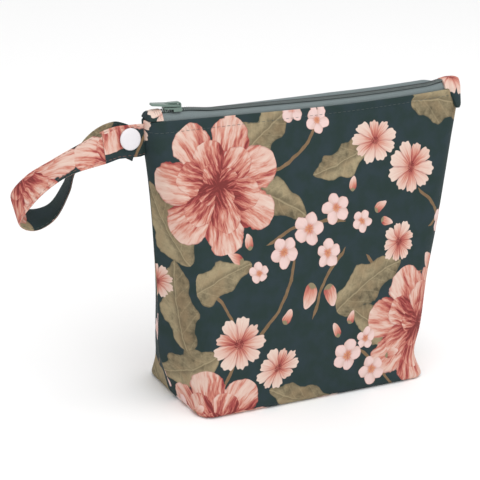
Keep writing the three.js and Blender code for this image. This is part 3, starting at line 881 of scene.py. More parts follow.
def printed_cloth(paint, props):
    """Laminated cotton with a flower print on a dark ground."""
    cloth = ClothColours(props)
    place = flat_place(paint)
    printed = paint.dot(place, (0, 0, 1))
    flat = paint.vector("MULTIPLY", place, (1, 1, 0))
    sway = paint.node("ShaderNodeTexNoise", None, {"Vector": flat, "Scale": 0.1, "Detail": 2.0}, "Color")
    full, back = (2 * PRINT_SWAY, 2 * PRINT_SWAY, 0), (-PRINT_SWAY, -PRINT_SWAY, 0)
    sway = paint.vector("MULTIPLY_ADD", sway, full, back)
    painter = Painter(paint, cloth, paint.vector("ADD", flat, sway))
    ground = paint.mix(paint.step(painter.soft, 0.3, 0.7), cloth.ground_green, cloth.ground_blue)
    colour = painter.stems(ground)
    colour = painter.leaves(colour, LEAVES_BACK)
    colour = painter.leaves(colour, LEAVES_FRONT)
    for ring in BLOOM_RINGS:
        colour = painter.bloom(colour, ring)
    colour = painter.buds(colour, BUDS)
    colour = painter.cosmos(colour, COSMOS_BACK, COSMOS_BACK_ASPECT)
    colour = painter.cosmos(colour, COSMOS_FRONT, COSMOS_FRONT_ASPECT)
    colour = painter.blossoms(colour, BLOSSOMS)
    colour = paint.mix(printed, ground, colour)
    thread = TAU / props.weave_pitch * MM
    warp = paint.math("SINE", paint.dot(place, (thread, 0, 0)))
    weft = paint.math("SINE", paint.dot(place, (0, thread, 0)))
    fibre = paint.noise(flat, 1.6, 3.0)
    normal = paint.bump(warp * weft * 0.5 + fibre, WEAVE_RELIEF, 0.5)
    paint.finish(Base_Color=colour, Roughness=0.66 + 0.14 * fibre, Normal=normal, Specular_IOR_Level=0.16)


def zip_tape_cloth(paint, props):
    """Twill tape, ribbed along its length."""
    place = flat_place(paint)
    rib = paint.math("SINE", paint.dot(place, (TAU / TAPE_RIB[0], TAU / TAPE_RIB[1], 0)))
    fleck = paint.noise(place, 2.2, 3.0)
    tone = paint.step(rib * 0.3 + fleck, 0.2, 0.95)
    colour = tones(paint, tone, tuple(props.tape_colour), 0.72, 1.15)
    normal = paint.bump(rib * 0.5 + fleck, TAPE_RELIEF, 0.6)
    paint.finish(Base_Color=colour, Roughness=0.62 + 0.2 * fleck, Normal=normal, Sheen_Weight=0.1)


def moulded(paint, base, roughness, grain, variation, metallic, coat):
    """A smooth moulded or enamelled finish with a little unevenness."""
    place = solid_place(paint)
    cloud = paint.noise(place, grain, 3.0, 0.6)
    colour = tones(paint, cloud, base, 1 - variation, 1 + variation)
    paint.finish(
        Base_Color=colour,
        Roughness=roughness * 0.85 + cloud * (roughness * 0.3),
        Normal=paint.bump(cloud, MOULDED_RELIEF, 0.4),
        Metallic=metallic,
        Coat_Weight=coat,
        Coat_Roughness=COAT_ROUGHNESS,
    )


def coil_with_painted_shade(paint, base):
    """Moulded nylon, with painted shade on every second loop, the one that comes from the back, standing in
    for the shadow between the loops.
    """
    place = solid_place(paint)
    start = (CHAIN_PARTED + TOOTH["pitch"] * FRONT_LOOP) * MM
    turn = TAU / (TOOTH["pitch"] * MM)
    wave = paint.math("COSINE", paint.dot(place, (turn, 0, 0)) - start * turn)
    cloud = paint.noise(place, 1500.0, 3.0, 0.6)
    # painted shade and painted light: the back loops darker and the front loops lighter than the coil's own
    # colour
    light = paint.step(wave, -0.5, 0.5) * (0.8 + 0.4 * cloud)
    colour = tones(paint, light, base, 0.3, 1.3)
    normal = paint.bump(cloud, MOULDED_RELIEF, 0.4)
    paint.finish(Base_Color=colour, Roughness=0.38 + 0.14 * cloud, Normal=normal)


def pale_floor(paint, base):
    """A plain matt floor."""
    place = solid_place(paint)
    cloud = paint.noise(place, 3.0, 2.0)
    colour = paint.mix(cloud, toned(base, 0.99), base)
    paint.finish(Base_Color=colour, Roughness=0.9, Specular_IOR_Level=0.1)


def twisted_thread(paint, base):
    """Sewing thread with a fine twist."""
    place = solid_place(paint)
    fuzz = paint.noise(place, 4000.0, 2.0)
    colour = tones(paint, fuzz, base, 0.6, 1.2)
    normal = paint.bump(fuzz, THREAD_RELIEF, 0.6)
    paint.finish(Base_Color=colour, Roughness=0.6 + 0.2 * fuzz, Normal=normal)


def material(name, make, *settings, **finish):
    """A material by name, drawn once by a function."""
    made = bpy.data.materials.get(name)
    if made is None:
        made = bpy.data.materials.new(name)
        made.use_nodes = True
        make(Paint(made.node_tree), *settings, **finish)
    return made


# Forms of the cloth

def top_lift(x):
    """How far the top edge rises towards its ends."""
    half = BODY_SECTIONS[-1][1]
    return np.where(x < 0, LIFT_LEFT, LIFT_RIGHT) * (x / half) ** 2


def zip_lean(x):
    """Share of the zip's lean along its length, none under the slider and the covers."""
    return smoothstep(x, *LEAN_GROWS) * (1 - smoothstep(x, *LEAN_FADES))


BODY = Table([row[0] for row in BODY_SECTIONS], [row[1:] for row in BODY_SECTIONS])


def body_level(height, inset):
    """Points of half a level, from the left seam round the front to the right one, with their lengths."""
    level = columns(BODY_COLUMNS[1:], BODY.at(height)[0])
    half, depth, radius = (level[key] - inset for key in ("half_width", "half_depth", "corner"))
    side = np.linspace(-FIT / 2, radius - depth, OUTLINE_FINE["side"], endpoint=False)
    bend = np.linspace(0, math.pi / 2, OUTLINE_FINE["corner"], endpoint=False)
    flank = np.stack([np.full(len(side), -half), side], 1)
    corner = np.stack([radius - half - radius * np.cos(bend), radius - depth - radius * np.sin(bend)], 1)
    front = np.linspace(radius - half, half - radius, OUTLINE_FINE["front"])
    front = np.stack([front, np.full(len(front), -depth)], 1)
    left = np.concatenate([flank, corner])
    x, y = np.concatenate([left, front, (left * (-1, 1))[::-1]]).T
    swell = FRONT_BOW * math.sin(math.pi * height / PANEL_TOP)
    bow = swell * (y / depth) ** 2 * np.cos(math.pi * x / (2 * half)) ** 2
    seam = np.sign(x) * level["ridge"] * (1 - np.minimum(np.abs(y) / depth, 1)) ** 2
    rise = smoothstep(height, LIFT_START, PANEL_TOP)
    return resample(np.stack([x + seam + level["shift"], y - bow, height + rise * top_lift(x)], 1), COLUMNS)


def panel_face(wall):
    """Rows of one face of the front half, from the base seam to the top edge, with their flat places."""
    rows, flats = [], []

    def add(points, lengths, v):
        rows.append(points)
        flats.append(np.stack([lengths, np.full(len(points), v)], 1))

    rim, lengths = body_level(0, BASE_EDGE)
    rim[:, 2] = wall
    reach = rim[-1, 0]
    x = np.linspace(-reach, reach, COLUMNS)
    seam = np.stack([x, BASE_SEAM_BOW * (1 - (x / reach) ** 2) - FIT / 2, np.full(COLUMNS, wall)], 1)
    depth = -rim[COLUMNS // 2, 1]
    for share in np.linspace(0, 1, BASE_ROWS, endpoint=False):
        flat_u = x * (1 - share) + lengths * share
        add(seam * (1 - share) + rim * share, flat_u, -BASE_EDGE - depth * (1 - share))
    add(rim, lengths, -BASE_EDGE)
    round_edge = BASE_EDGE - wall
    for angle in np.linspace(0, math.pi / 2, EDGE_ROWS + 1)[1:]:
        height = BASE_EDGE - round_edge * math.cos(angle)
        points, lengths = body_level(height, BASE_EDGE - round_edge * math.sin(angle))
        points[:, 2] = height
        add(points, lengths, height - BASE_EDGE * (1 - angle / (math.pi / 2)))
    heights = np.linspace(BASE_EDGE, PANEL_TOP - CLOTH / 2, round((PANEL_TOP - BASE_EDGE) / WALL_STEP))[1:]
    for height in heights:
        add(*body_level(height, wall), height)
    return np.array(rows), np.array(flats)


def panel_fold(outer, inner):
    """Rows that round the top edge over from the outer face to the inner one."""
    middle = (outer[-1] + inner[-1]) / 2
    half = (outer[-1] - inner[-1]) / 2
    lift = np.zeros_like(half)
    lift[:, 2] = CLOTH / 2
    angles = np.linspace(0, math.pi, FOLD_ROWS + 2)[1:-1]
    return np.array([middle + half * math.cos(a) + lift * math.sin(a) for a in angles])


def stitch_drop(u):
    """How far the top stitching runs below the panel's top edge."""
    return np.interp(u, STITCH_PLACES, STITCH_DROPS)


def soften(flat, dents, amount):
    """How far the cloth stands out from its plain form, in millimetres, at each flat place."""
    u, v = flat[..., 0], flat[..., 1]
    broad, fine = WAVE_BROAD, WAVE_FINE
    across = np.sin(u / broad["u"] + broad["start_u"])
    upward = np.sin(v / broad["v"] + broad["start_v"])
    out = broad["depth"] * across * upward + fine["depth"] * np.sin(u / fine["u"] - v / fine["v"])
    for row in dents:
        dent = columns(DENT_COLUMNS, row)
        away = ((u - dent["u"]) / dent["reach_u"]) ** 2 + ((v - dent["v"]) / dent["reach_v"]) ** 2
        out = out - dent["depth"] * np.exp(-away)
    hem = PANEL_TOP - stitch_drop(u)
    below = (v - hem + STITCH_PUCKER["below"]) / STITCH_PUCKER["reach"]
    pucker = STITCH_PUCKER["depth"] * np.sin(u * TAU / STITCH_PUCKER["pitch"]) * np.exp(-(below**2))
    groove = -STITCH_GROOVE["depth"] * np.exp(-(((v - hem) / STITCH_GROOVE["reach"]) ** 2))
    edge = np.abs(u).max(axis=1, keepdims=True) - np.abs(u)
    calm = smoothstep(edge, *CALM_SIDE) * smoothstep(v, *CALM_FOOT) * (1 - smoothstep(v, *CALM_TOP))
    by_seam = 1 - smoothstep(edge, *SEAM_TUCK["side"])
    tuck = SEAM_TUCK["depth"] * by_seam * smoothstep(v, *SEAM_TUCK["foot"])
    return amount * (out * calm + pucker) + groove * smoothstep(edge, *STITCH_GROOVE["side"]) - tuck


def to_back(grid):
    """The back half is the front half turned over the seam plane, with the base seam's bow kept."""
    turned = grid * (1, -1, 1)
    turned[0, :, 1] = grid[0, :, 1] + FIT
    return turned


def stitch_line(points, normals, length, pitch, radius):
    """Points and quads of a row of sewn stitches along a line on the cloth."""
    rings = np.linspace(-1, 1, STITCH["rings"])
    sides = np.linspace(0, TAU, STITCH["sides"], endpoint=False)
    run = along_line(points)
    count = int(run[-1] // pitch)
    centres = (np.arange(count) + 0.5) * run[-1] / count
    where = centres[:, None] + rings[None, :] * length / 2

    def read(values):
        return np.stack([np.interp(where, run, values[:, k]) for k in range(3)], -1)

    spine = read(points)
    up = read(normals)
    up /= np.linalg.norm(up, axis=-1, keepdims=True)
    ahead = np.gradient(spine, axis=1)
    beside = np.cross(ahead, up)
    beside /= np.linalg.norm(beside, axis=-1, keepdims=True)
    spine = spine + up * (radius * (STITCH["rise"] - STITCH["sink"] * rings**4))[None, :, None]
    girth = radius * np.sqrt(STITCH["girth"] - rings**2 * STITCH["taper"])[None, :, None, None]
    circle = beside[:, :, None] * np.cos(sides)[:, None] + up[:, :, None] * np.sin(sides)[:, None]
    vertices = (spine[:, :, None] + circle * girth).reshape(-1, 3)
    block = len(rings) * len(sides)
    one = [*tube_faces(len(rings), len(sides)).tolist(), list(range(len(sides)))[::-1]]
    one.append(list(range(block - len(sides), block)))
    faces = [[i + block * k for i in face] for k in range(count) for face in one]
    return vertices, faces


def join(parts):
    """Several lists of points and faces as one."""
    points, faces, first = [], [], 0
    for vertices, quads in parts:
        points.append(vertices)
        faces += [[i + first for i in face] for face in quads]
        first += len(vertices)
    return np.concatenate(points), faces


# Strap line

def strap_width(lean, skew):
    """Direction of the strap's width, from its lean and skew in degrees."""
    lean, skew = np.radians(lean), np.radians(skew)
    return np.stack([np.sin(skew), np.sin(lean) * np.cos(skew), np.cos(lean) * np.cos(skew)], -1)


SNAP_UP = strap_width(SNAP["lean"], 0.0)
SNAP_AXIS = np.array([0, -SNAP_UP[2], SNAP_UP[1]])
SNAP_PLACE = np.array([SNAP["x"], SNAP["y"], SNAP["z"]])


def strap_rows():
    """Rows of the strap's centre line: sewn end, front flat, loop and rear flat."""

    def flat(step, behind, lift, skew):
        x, y, z = SNAP_PLACE - SNAP_AXIS * behind + SNAP_UP * lift
        return (x + step, y, z, SNAP["lean"], skew)

    near, far = SNAP_FLAT
    tail = [(STRAP[key], 0, SNAP["z"], 0, 0) for key in ("tail", "seam")]
    front = [flat(step, 0, 0, 0) for step in (far, near, -near, -far)]
    rear = [flat(step, SNAP["gap"], lift, skew) for step, lift, skew in STRAP_REAR]
    return np.array([*tail, *front, *STRAP_LOOP, *rear], float)


def strap_frames():
    """Centre, width direction and way out of the loop at steps along the strap, with the lengths."""
    rows = strap_rows()
    places = along_line(rows[:, :3])
    track = Table(places, rows)
    fold = STRAP_FOLD["run"] + STRAP_FOLD["edge"] * np.array([-0.5, 0.5])
    run = np.sort(np.append(np.linspace(0, places[-1], STRAP["steps"]), fold))
    read = columns(STRAP_COLUMNS, track.at(run).T)
    centre = np.stack([read["x"], read["y"], read["z"]], 1)
    across = strap_width(read["lean"], read["skew"])
    along = np.gradient(centre, run, axis=0)
    out = np.cross(across, along)
    out /= np.linalg.norm(out, axis=1, keepdims=True)
    return centre, across, out, along_line(centre)


def strap_half_thickness(w):
    """Half thickness of the folded strip across its width, pressed in at the two rows of stitches."""
    edge = (1 - np.minimum(np.abs(w), 1) ** STRAP_EDGE["round"]) ** 0.5
    away = (np.abs(w) - STRAP_STITCH) / STRAP_EDGE["press_reach"]
    press = STRAP_EDGE["press"] * np.exp(-(away**2))
    return STRAP["thick"] / 2 * edge - press * edge


# Properties

def colour_property(name, description, default):
    return bpy.props.FloatVectorProperty(
        name=name, description=description, default=linear(*default), size=3, min=0, max=1, subtype="COLOR"
    )


def length_property(name, description, millimetres):
    return bpy.props.FloatProperty(
        name=name, description=description, default=millimetres * MM, min=0, unit="LENGTH", precision=5
    )


def share_property(name, description, default, highest):
    return bpy.props.FloatProperty(
        name=name, description=description, default=default, min=0, max=highest, subtype="FACTOR"
    )


def power_property(name, description, watts):
    return bpy.props.FloatProperty(name=name, description=description, default=watts, min=0, unit="POWER")


class PouchClothProperties(bpy.types.PropertyGroup):
    """Colours and sizes of the printed cloth and its sewing."""

    ground: colour_property("Ground", "Dark ground of the print", (41, 55, 56))
    cream: colour_property("Cream", "Palest petal tips", (220, 197, 184))
    pale: colour_property("Pale petal", "Pale pink of the large flowers", (213, 177, 163))
    blossom: colour_property("Blossom", "Cool pale pink of the small blossoms", (217, 190, 185))
    salmon: colour_property("Salmon", "Middle tone of the petals", (196, 128, 111))
    rose: colour_property("Rose", "Deep tone of streaks and hearts", (156, 70, 68))
    leaf: colour_property("Leaf", "Khaki of the leaves", (136, 124, 98))
    stem: colour_property("Stem", "Tan of the stems", (138, 112, 84))
    gold: colour_property("Stamens", "Golden stamens of the blossoms", (206, 146, 84))
    thread: colour_property("Thread", "Sewing thread of the body", (80, 90, 89))
    strap_thread: colour_property("Strap thread", "Sewing thread on the strap's outer side", (146, 100, 91))
    weave_pitch: length_property("Weave pitch", "Distance between threads of the weave", 0.45)
    stitch_length: length_property("Stitch length", "Length of one sewn stitch", 2.2)
    stitch_pitch: length_property("Stitch pitch", "Distance from stitch to stitch", 3.0)
    thread_radius: length_property("Thread radius", "Half the thickness of the thread", 0.1)
    softness: share_property("Softness", "Share of the cloth's dents and waves", 1.0, 2)


class PouchTrimProperties(bpy.types.PropertyGroup):
    """Colours of the zip and the press stud."""

    tape_colour: colour_property("Zip tape", "Woven zip tape", (118, 130, 131))
    coil_colour: colour_property("Coil", "Zip coil", (108, 117, 116))
    enamel_colour: colour_property("Slider", "Painted slider and pull", (103, 124, 114))
    stud_colour: colour_property("Press stud", "Plastic press stud", (220, 216, 219))


class PouchStageProperties(bpy.types.PropertyGroup):
    """Floor and studio light."""

    floor_colour: colour_property("Floor", "Pale floor", (250, 250, 250))
    floor_size: length_property("Floor size", "Side of the square floor", 12000)
    key_power: power_property("Key light", "Power of the large soft light above", 15)
    fill_power: power_property("Fill light", "Power of the soft light in front", 3.6)
    sky: share_property("Sky", "Strength of the even white light", 0.82, 3)


def cloth_material(context):
    return material("flower_print", printed_cloth, context.scene.pouch_cloth)


def printed_places(u, v):
    """Flat places of a grid's points, all on the printed side."""
    u, v = np.broadcast_arrays(u, v)
    return np.stack([u, v, np.ones(u.shape)], -1).reshape(-1, 3)


def refinish(node, finish):
    """Gives a solid of the frame another finish."""
    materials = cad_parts[node].data.materials
    materials.clear()
    materials.append(finish)


def sewn(context, name, lines, thread="thread"):
    """A piece made of rows of stitches along lines of points with their normals, in one of the threads."""
    cloth = context.scene.pouch_cloth
    sizes = (cloth.stitch_length / MM, cloth.stitch_pitch / MM, cloth.thread_radius / MM)
    points, faces = join([stitch_line(line, normals, *sizes) for line, normals in lines])
    finish = material(f"sewing_{thread}", twisted_thread, tuple(getattr(cloth, thread)))
    made = make_piece(name, points, faces, finish, sharp=80)
    return made


# Operators

class POUCH_OT_panels(bpy.types.Operator):
    """Make the front and back halves of the cloth body, with their top stitching"""

    bl_idname = "pouch.panels"
    bl_label = "Cloth Body"

    def execute(self, context):
        cloth = context.scene.pouch_cloth
        outer_plain, flat = panel_face(0)
        inner_plain, _ = panel_face(CLOTH)
        normals = grid_normals(outer_plain)
        sides = (
            ("front", FRONT_DENTS, CUT_FRONT, lambda grid: grid),
            ("back", BACK_DENTS, CUT_BACK, to_back),
        )
        for side, dents, cut, turn in sides:
            stand = soften(flat, dents, cloth.softness)[..., None] * normals
            outer, inner = outer_plain + stand, inner_plain + stand
            fold = panel_fold(outer, inner)
            points, faces = shell(turn(outer), turn(inner), self.turned_fold(fold, side))
            printed = printed_places(flat[..., 0] + cut[0], flat[..., 1] + cut[1])
            hidden = printed * (1, 1, 0)
            top = np.tile(printed[-COLUMNS:], (FOLD_ROWS, 1))
            places = np.concatenate([printed, hidden, top])
            made = make_piece(f"{side}_cloth", points, faces, cloth_material(context), places)
            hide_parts(f"{side}_panel")
            self.top_stitches(context, side, flat, turn(outer), turn(normals))
        return {"FINISHED"}

    @staticmethod
    def turned_fold(fold, side):
        """The fold of the top edge, turned over for the back half."""
        return fold if side == "front" else fold * (1, -1, 1)

    @staticmethod
    def top_stitches(context, side, flat, outer, normals):
        """A row of stitches below the top edge, read between the rows of the panel's points."""
        column = np.arange(STITCH_MARGIN, COLUMNS - STITCH_MARGIN)
        heights = PANEL_TOP - stitch_drop(flat[-1, column, 0])
        place = np.interp(heights, flat[:, 0, 1], np.arange(len(flat)))
        row = place.astype(int)
        share = (place - row)[:, None]

        def read(grid):
            return grid[row, column] * (1 - share) + grid[row + 1, column] * share

        sewn(context, f"{side}_top_stitching", [(read(outer), read(normals))])


class POUCH_OT_zip(bpy.types.Operator):
    """Make the zip's tapes, its coil and its painted slider and pull"""

    bl_idname = "pouch.zip"
    bl_label = "Zip"

    def execute(self, context):
        trim = context.scene.pouch_trim
        tape = material("tape_twill", zip_tape_cloth, trim)
        for side, sign in (("front", -1), ("back", 1)):
            self.tape(side, sign, tape)
        self.coil(context)
        paint = material("sage_enamel", moulded, tuple(trim.enamel_colour), **ENAMEL)
        for node in ("zip_slider", "zip_pull"):
            refinish(node, paint)
        return {"FINISHED"}

    @staticmethod
    def profile(distance, roof, steps):
        """Points beside a profile of depths and rises, at a distance along its normals."""
        rows = np.array(roof, float)
        places = along_line(rows)
        line = Table(places, rows).at(np.linspace(0, places[-1], steps))
        along = np.gradient(line, axis=0)
        along /= np.linalg.norm(along, axis=1, keepdims=True)
        return line + np.stack([along[:, 1], -along[:, 0]], 1) * distance

    def tape(self, side, sign, finish):
        """One tape, whose lean to the front grows and fades along the zip."""
        x = np.linspace(-TAPE_HALF_LENGTH, TAPE_HALF_LENGTH, TAPE_FINE["along"])
        lean = zip_lean(x)
        if side == "back":
            lean = lean * np.interp(x, BACK_RISES, (0, 1))

        def face(distance):
            plain = self.profile(distance, TAPE_PROFILE, TAPE_FINE["across"])[:, None]
            leaning = self.profile(distance, TAPE_LEANING[side], TAPE_FINE["across"])[:, None]
            rows = plain + (leaning - plain) * lean[:, None]
            grid = np.zeros((*rows.shape[:2], 3))
            grid[..., 0] = x
            grid[..., 1] = sign * rows[..., 0]
            grid[..., 2] = PANEL_TOP + rows[..., 1] + top_lift(x)
            return grid

        outer, inner = face(TAPE / 2), face(-TAPE / 2)
        points, faces = shell(outer, inner)
        run = along_line(outer[:, 0])
        places = np.tile(printed_places(x, run[:, None]), (2, 1))
        made = make_piece(f"{side}_tape", points, faces, finish, places)
        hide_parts(f"zip_tape_{side}")

    def coil(self, context):
        """Loops of wire from both sides that pass each other at the middle."""
        teeth = round((CHAIN_END - CHAIN_PARTED) / TOOTH["pitch"])
        bend = np.linspace(0, TAU, TOOTH_FINE["bend"], endpoint=False)
        sides = np.linspace(0, TAU, TOOTH_FINE["sides"], endpoint=False)
        sin, cos = np.sin(bend), np.cos(bend)
        round_loop = tube_faces(len(bend), len(sides), closed=True).tolist()
        wire = TOOTH["wire"] / 2
        parts = []
        for number in range(2 * teeth):
            sign = -1 if number % 2 else 1
            x = CHAIN_PARTED + (number + 0.5) * TOOTH["pitch"] / 2
            past = TOOTH["past"] if x > CHAIN_START else TOOTH["short"]
            reach = (TOOTH["reach"] + past) / 2
            middle = sign * (TOOTH["reach"] - past) / 2
            level = PANEL_TOP + CHAIN_LEVEL + float(top_lift(x))
            size = np.array([TOOTH["swing"], reach, TOOTH["rise"]])
            place = np.array([x, middle, level]) + np.array(COIL_LEAN) * zip_lean(x)
            loop = place + size * np.stack([sin, cos, sin], 1)
            ahead = size * np.stack([cos, -sin, cos], 1)
            ahead /= np.linalg.norm(ahead, axis=1, keepdims=True)
            beside = np.cross(ahead, (1.0, 0.0, 0.0))
            beside /= np.linalg.norm(beside, axis=1, keepdims=True)
            above = np.cross(ahead, beside)
            ring = beside[:, None] * np.cos(sides)[:, None] + above[:, None] * np.sin(sides)[:, None]
            parts.append(((loop[:, None] + ring * wire).reshape(-1, 3), round_loop))
        points, faces = join(parts)
        nylon = material("coil_nylon", coil_with_painted_shade, tuple(context.scene.pouch_trim.coil_colour))
        made = make_piece("coil", points, faces, nylon, sharp=80)
        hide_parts("zip_chain")


class POUCH_OT_tabs(bpy.types.Operator):
    """Make the cloth covers folded over the two ends of the zip"""

    bl_idname = "pouch.tabs"
    bl_label = "Zip End Covers"

    def execute(self, context):
        for side, tab, cut in (("left", TAB_LEFT, CUT_TAB_LEFT), ("right", TAB_RIGHT, CUT_TAB_RIGHT)):
            outer = self.face(tab, TAB_THICK / 2, 0)
            inner = self.face(tab, -TAB_THICK / 2, TAB_THICK)
            points, faces = shell(outer, inner)
            u = along_line(outer[:, outer.shape[1] // 4])
            v = np.array([along_line(row) for row in outer])
            v -= v[:, -1:] / 2
            places = np.tile(printed_places(u[:, None] + cut[0], v + cut[1]), (2, 1))
            made = make_piece(f"{side}_tab", points, faces, cloth_material(context), places)
            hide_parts(f"zip_tab_{side}")
        self.sewing(context)
        return {"FINISHED"}

    @staticmethod
    def sewing(context):
        """Rows of stitches across the left cover."""
        outer = POUCH_OT_tabs.face(TAB_LEFT, TAB_THICK / 2, 0)
        up = -grid_normals(outer)
        rows = [int(np.argmin(np.abs(outer[:, 0, 0] - x))) for x in TAB_SEWING]
        sewn(context, "left_tab_stitching", [(outer[row, 1:-1], up[row, 1:-1]) for row in rows])

    @staticmethod
    def face(tab, distance, end_wall):
        """One face of a cover, in rows along the zip, each from the front foot over to the back one."""
        half = POUCH_OT_zip.profile(distance, TAB_ROOF, TAB_ROOF_STEPS)
        share = np.linspace(1, 0, TAB_WALL_ROWS + 1)[:-1]
        wall = np.repeat(half[:1], TAB_WALL_ROWS, axis=0)
        side = np.concatenate([wall, half])
        below = np.concatenate([share, np.zeros(len(half))])
        roof = np.concatenate([side * (-1, 1), side[::-1]])
        below = np.concatenate([below, below[::-1] * TAB_BACK_DROP])
        steps = np.linspace(0, len(tab) - 1, TAB_ROWS)
        x, wide, high, drop = Table(np.arange(len(tab)), tab).at(steps).T
        x = tab[0][0] + (x - tab[0][0]) * (1 - end_wall / abs(tab[-1][0] - tab[0][0]))
        depth = drop[:, None] * below
        foot = PANEL_TOP + top_lift(x) + TAB_FOOT
        grid = np.zeros((len(x), len(roof), 3))
        grid[..., 0] = x[:, None]
        flare = TAB_FLARE * depth * np.minimum(wide, 1)[:, None]
        grid[..., 1] = roof[:, 0] * wide[:, None] + np.sign(roof[:, 0]) * flare
        grid[..., 2] = foot[:, None] + np.maximum(roof[:, 1] - TAB_FOOT, 0) * high[:, None] - depth
        return grid


class POUCH_OT_strap(bpy.types.Operator):
    """Make the looped strap with its two rows of stitches"""

    bl_idname = "pouch.strap"
    bl_label = "Strap"

    def execute(self, context):
        centre, across, out, run = strap_frames()
        w = np.sin(np.linspace(-math.pi / 2, math.pi / 2, STRAP["across"]))
        half = strap_half_thickness(w)
        width = STRAP["width"] / 2
        ahead = STRAP_FOLD["run"] - run
        sewn_end = ahead > 0
        ridge = STRAP_FOLD["height"] * sewn_end * (1 - smoothstep(ahead, 0, STRAP_FOLD["fade"]))
        plain = np.zeros(len(run))

        def face(sign, raised):
            level = sign * half + raised[:, None] * (half / half.max())
            return centre[:, None] + across[:, None] * (w * width)[:, None] + out[:, None] * level[..., None]

        outer, inner = face(1, ridge), face(-1, plain)[:, ::-1]
        rings = np.concatenate([outer, inner[:, 1:-1]], axis=1)
        count = rings.shape[1]
        faces = tube_faces(len(rings), count).tolist()
        faces += [list(range(count)), list(range((len(rings) - 1) * count, len(rings) * count))]
        places = np.zeros(rings.shape)
        for part, row, cut in (
            (slice(0, len(w)), w, CUT_STRAP_OUTSIDE),
            (slice(len(w), count), w[::-1][1:-1], CUT_STRAP_INSIDE),
        ):
            places[:, part, 0] = run[:, None] + cut[0]
            places[:, part, 1] = row * width + cut[1]
            places[:, part, 2] = 1
        places[sewn_end, : len(w), :2] += np.subtract(CUT_STRAP_SEWN, CUT_STRAP_OUTSIDE)
        points, places = rings.reshape(-1, 3), places.reshape(-1, 3)
        made = make_piece("strap_cloth", points, faces, cloth_material(context), places)
        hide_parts("strap")
        level = float(strap_half_thickness(STRAP_STITCH))
        sewn_sides = (("outer", 1, ridge, "strap_thread"), ("inner", -1, plain, "thread"))
        for side, sign, raised, thread in sewn_sides:
            rise = level + raised * level / half.max()
            middle = centre + out * (sign * rise)[:, None]
            lines = [(middle + across * (edge * STRAP_STITCH * width), out * sign) for edge in (-1, 1)]
            sewn(context, f"strap_{side}_stitching", lines, thread)
        return {"FINISHED"}


class POUCH_OT_stud(bpy.types.Operator):
    """Make the press stud's cap, and finish the hidden part of the stud"""

    bl_idname = "pouch.stud"
    bl_label = "Press Stud"

    def execute(self, context):
        colour = tuple(context.scene.pouch_trim.stud_colour)
        plastic = material("stud_plastic", moulded, colour, **STUD_GLOSS)
        radius, rim, rise = CAP["radius"], CAP["rim"], CAP["dome"] - CAP["rim"]
        curve = np.linspace(0, math.pi / 2, CAP["steps"])[:-1]
        profile = [(radius - CAP["foot"], 0.0), (radius, CAP["foot"])]
        profile += [(radius * math.cos(a) ** CAP["fullness"], rim + rise * math.sin(a)) for a in curve]
        turns = np.linspace(0, TAU, CAP["sides"], endpoint=False)
        beside = np.array([1.0, 0, 0])
        circle = beside * np.cos(turns)[:, None] + SNAP_UP * np.sin(turns)[:, None]
        foot = SNAP_PLACE + SNAP_AXIS * (STRAP["thick"] / 2 + FIT) + SNAP_UP * SNAP["rise"]
        rings = np.array([foot + circle * r + SNAP_AXIS * h for r, h in profile])
        faces = tube_faces(len(rings), CAP["sides"]).tolist()
        last = (len(rings) - 1) * CAP["sides"]
        faces += [list(range(CAP["sides"])), list(range(last, last + CAP["sides"]))]
        made = make_piece("stud_cap", rings.reshape(-1, 3), faces, plastic, sharp=40)
        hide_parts("snap_cap")
        refinish("snap_post", plastic)
        return {"FINISHED"}


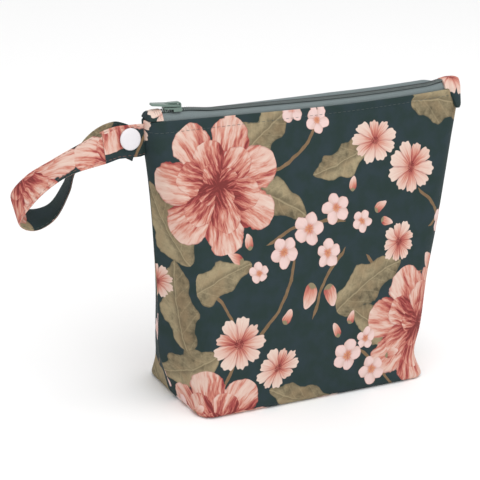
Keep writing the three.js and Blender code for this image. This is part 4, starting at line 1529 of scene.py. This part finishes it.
class POUCH_OT_stage(bpy.types.Operator):
    """Make the floor, the soft light and the camera"""

    bl_idname = "pouch.stage"
    bl_label = "Stage"

    def execute(self, context):
        stage = context.scene.pouch_stage
        self.camera(context)
        half = stage.floor_size / 2
        mesh = bpy.data.meshes.new("floor")
        corners = [(x * half, y * half, 0) for x, y in ((-1, -1), (1, -1), (1, 1), (-1, 1))]
        mesh.from_pydata(corners, [], [(0, 1, 2, 3)])
        mesh.materials.append(material("pale_floor", pale_floor, tuple(stage.floor_colour)))
        placed("floor", mesh)
        self.softbox("key_light", KEY_LIGHT, stage.key_power)
        self.softbox("fill_light", FILL_LIGHT, stage.fill_power)
        world = bpy.data.worlds.new("even_sky")
        world.use_nodes = True
        background = world.node_tree.nodes["Background"]
        background.inputs["Color"].default_value = (1, 1, 1, 1)
        background.inputs["Strength"].default_value = stage.sky
        context.scene.world = world
        context.scene.view_settings.view_transform = "Standard"
        return {"FINISHED"}

    @staticmethod
    def camera(context):
        """The camera, turned round its target and rolled."""
        angles = (math.radians(CAMERA[key]) for key in ("azimuth", "elevation", "roll"))
        azimuth, elevation, roll = angles
        flat = math.cos(elevation)
        back = Vector((math.sin(azimuth) * flat, -math.cos(azimuth) * flat, math.sin(elevation)))
        level = Vector((math.cos(azimuth), math.sin(azimuth), 0))
        upright = back.cross(level)
        right = math.cos(roll) * level + math.sin(roll) * upright
        up = math.cos(roll) * upright - math.sin(roll) * level
        place = (Vector(CAMERA["target"]) + back * CAMERA["distance"]) * MM
        data = bpy.data.cameras.new("camera")
        data.sensor_width = SENSOR
        data.lens = SENSOR * FOCAL_PIXELS / PICTURE
        camera = placed("camera", data)
        camera.matrix_world = Matrix((right, up, back)).transposed().to_4x4()
        camera.location = place
        context.scene.camera = camera

    @staticmethod
    def softbox(name, box, power):
        """A square soft light that faces the pouch."""
        data = bpy.data.lights.new(name, "AREA")
        data.size = box["size"]
        data.energy = power
        light = placed(name, data)
        light.location = box["place"]
        aim = Vector(LIGHT_AIM) - Vector(box["place"])
        light.rotation_mode = "QUATERNION"
        light.rotation_quaternion = aim.to_track_quat("-Z", "Y")


class POUCH_PT_sidebar(bpy.types.Panel):
    """Steps that build the pouch, with their sizes and colours"""

    bl_label = "Waterproof Pouch"
    bl_idname = "POUCH_PT_sidebar"
    bl_space_type = "VIEW_3D"
    bl_region_type = "UI"
    bl_category = "Pouch"

    def draw(self, context):
        for group in (context.scene.pouch_cloth, context.scene.pouch_trim, context.scene.pouch_stage):
            box = self.layout.box()
            for key in group.bl_rna.properties.keys():
                if key not in ("rna_type", "name"):
                    box.prop(group, key)
        for operator in OPERATORS:
            self.layout.operator(operator.bl_idname)


GROUPS = {
    "pouch_cloth": PouchClothProperties,
    "pouch_trim": PouchTrimProperties,
    "pouch_stage": PouchStageProperties,
}
OPERATORS = (
    POUCH_OT_stage,
    POUCH_OT_panels,
    POUCH_OT_zip,
    POUCH_OT_tabs,
    POUCH_OT_strap,
    POUCH_OT_stud,
)


def register():
    for made in (*GROUPS.values(), *OPERATORS, POUCH_PT_sidebar):
        bpy.utils.register_class(made)
    for name, group in GROUPS.items():
        setattr(bpy.types.Scene, name, bpy.props.PointerProperty(type=group))


def unregister():
    for name in GROUPS:
        delattr(bpy.types.Scene, name)
    for made in reversed((*GROUPS.values(), *OPERATORS, POUCH_PT_sidebar)):
        bpy.utils.unregister_class(made)


def main():
    register()
    bpy.ops.pouch.stage()
    bpy.ops.pouch.panels()
    bpy.ops.pouch.zip()
    bpy.ops.pouch.tabs()
    bpy.ops.pouch.strap()
    bpy.ops.pouch.stud()


if __name__ == "__main__":
    main()
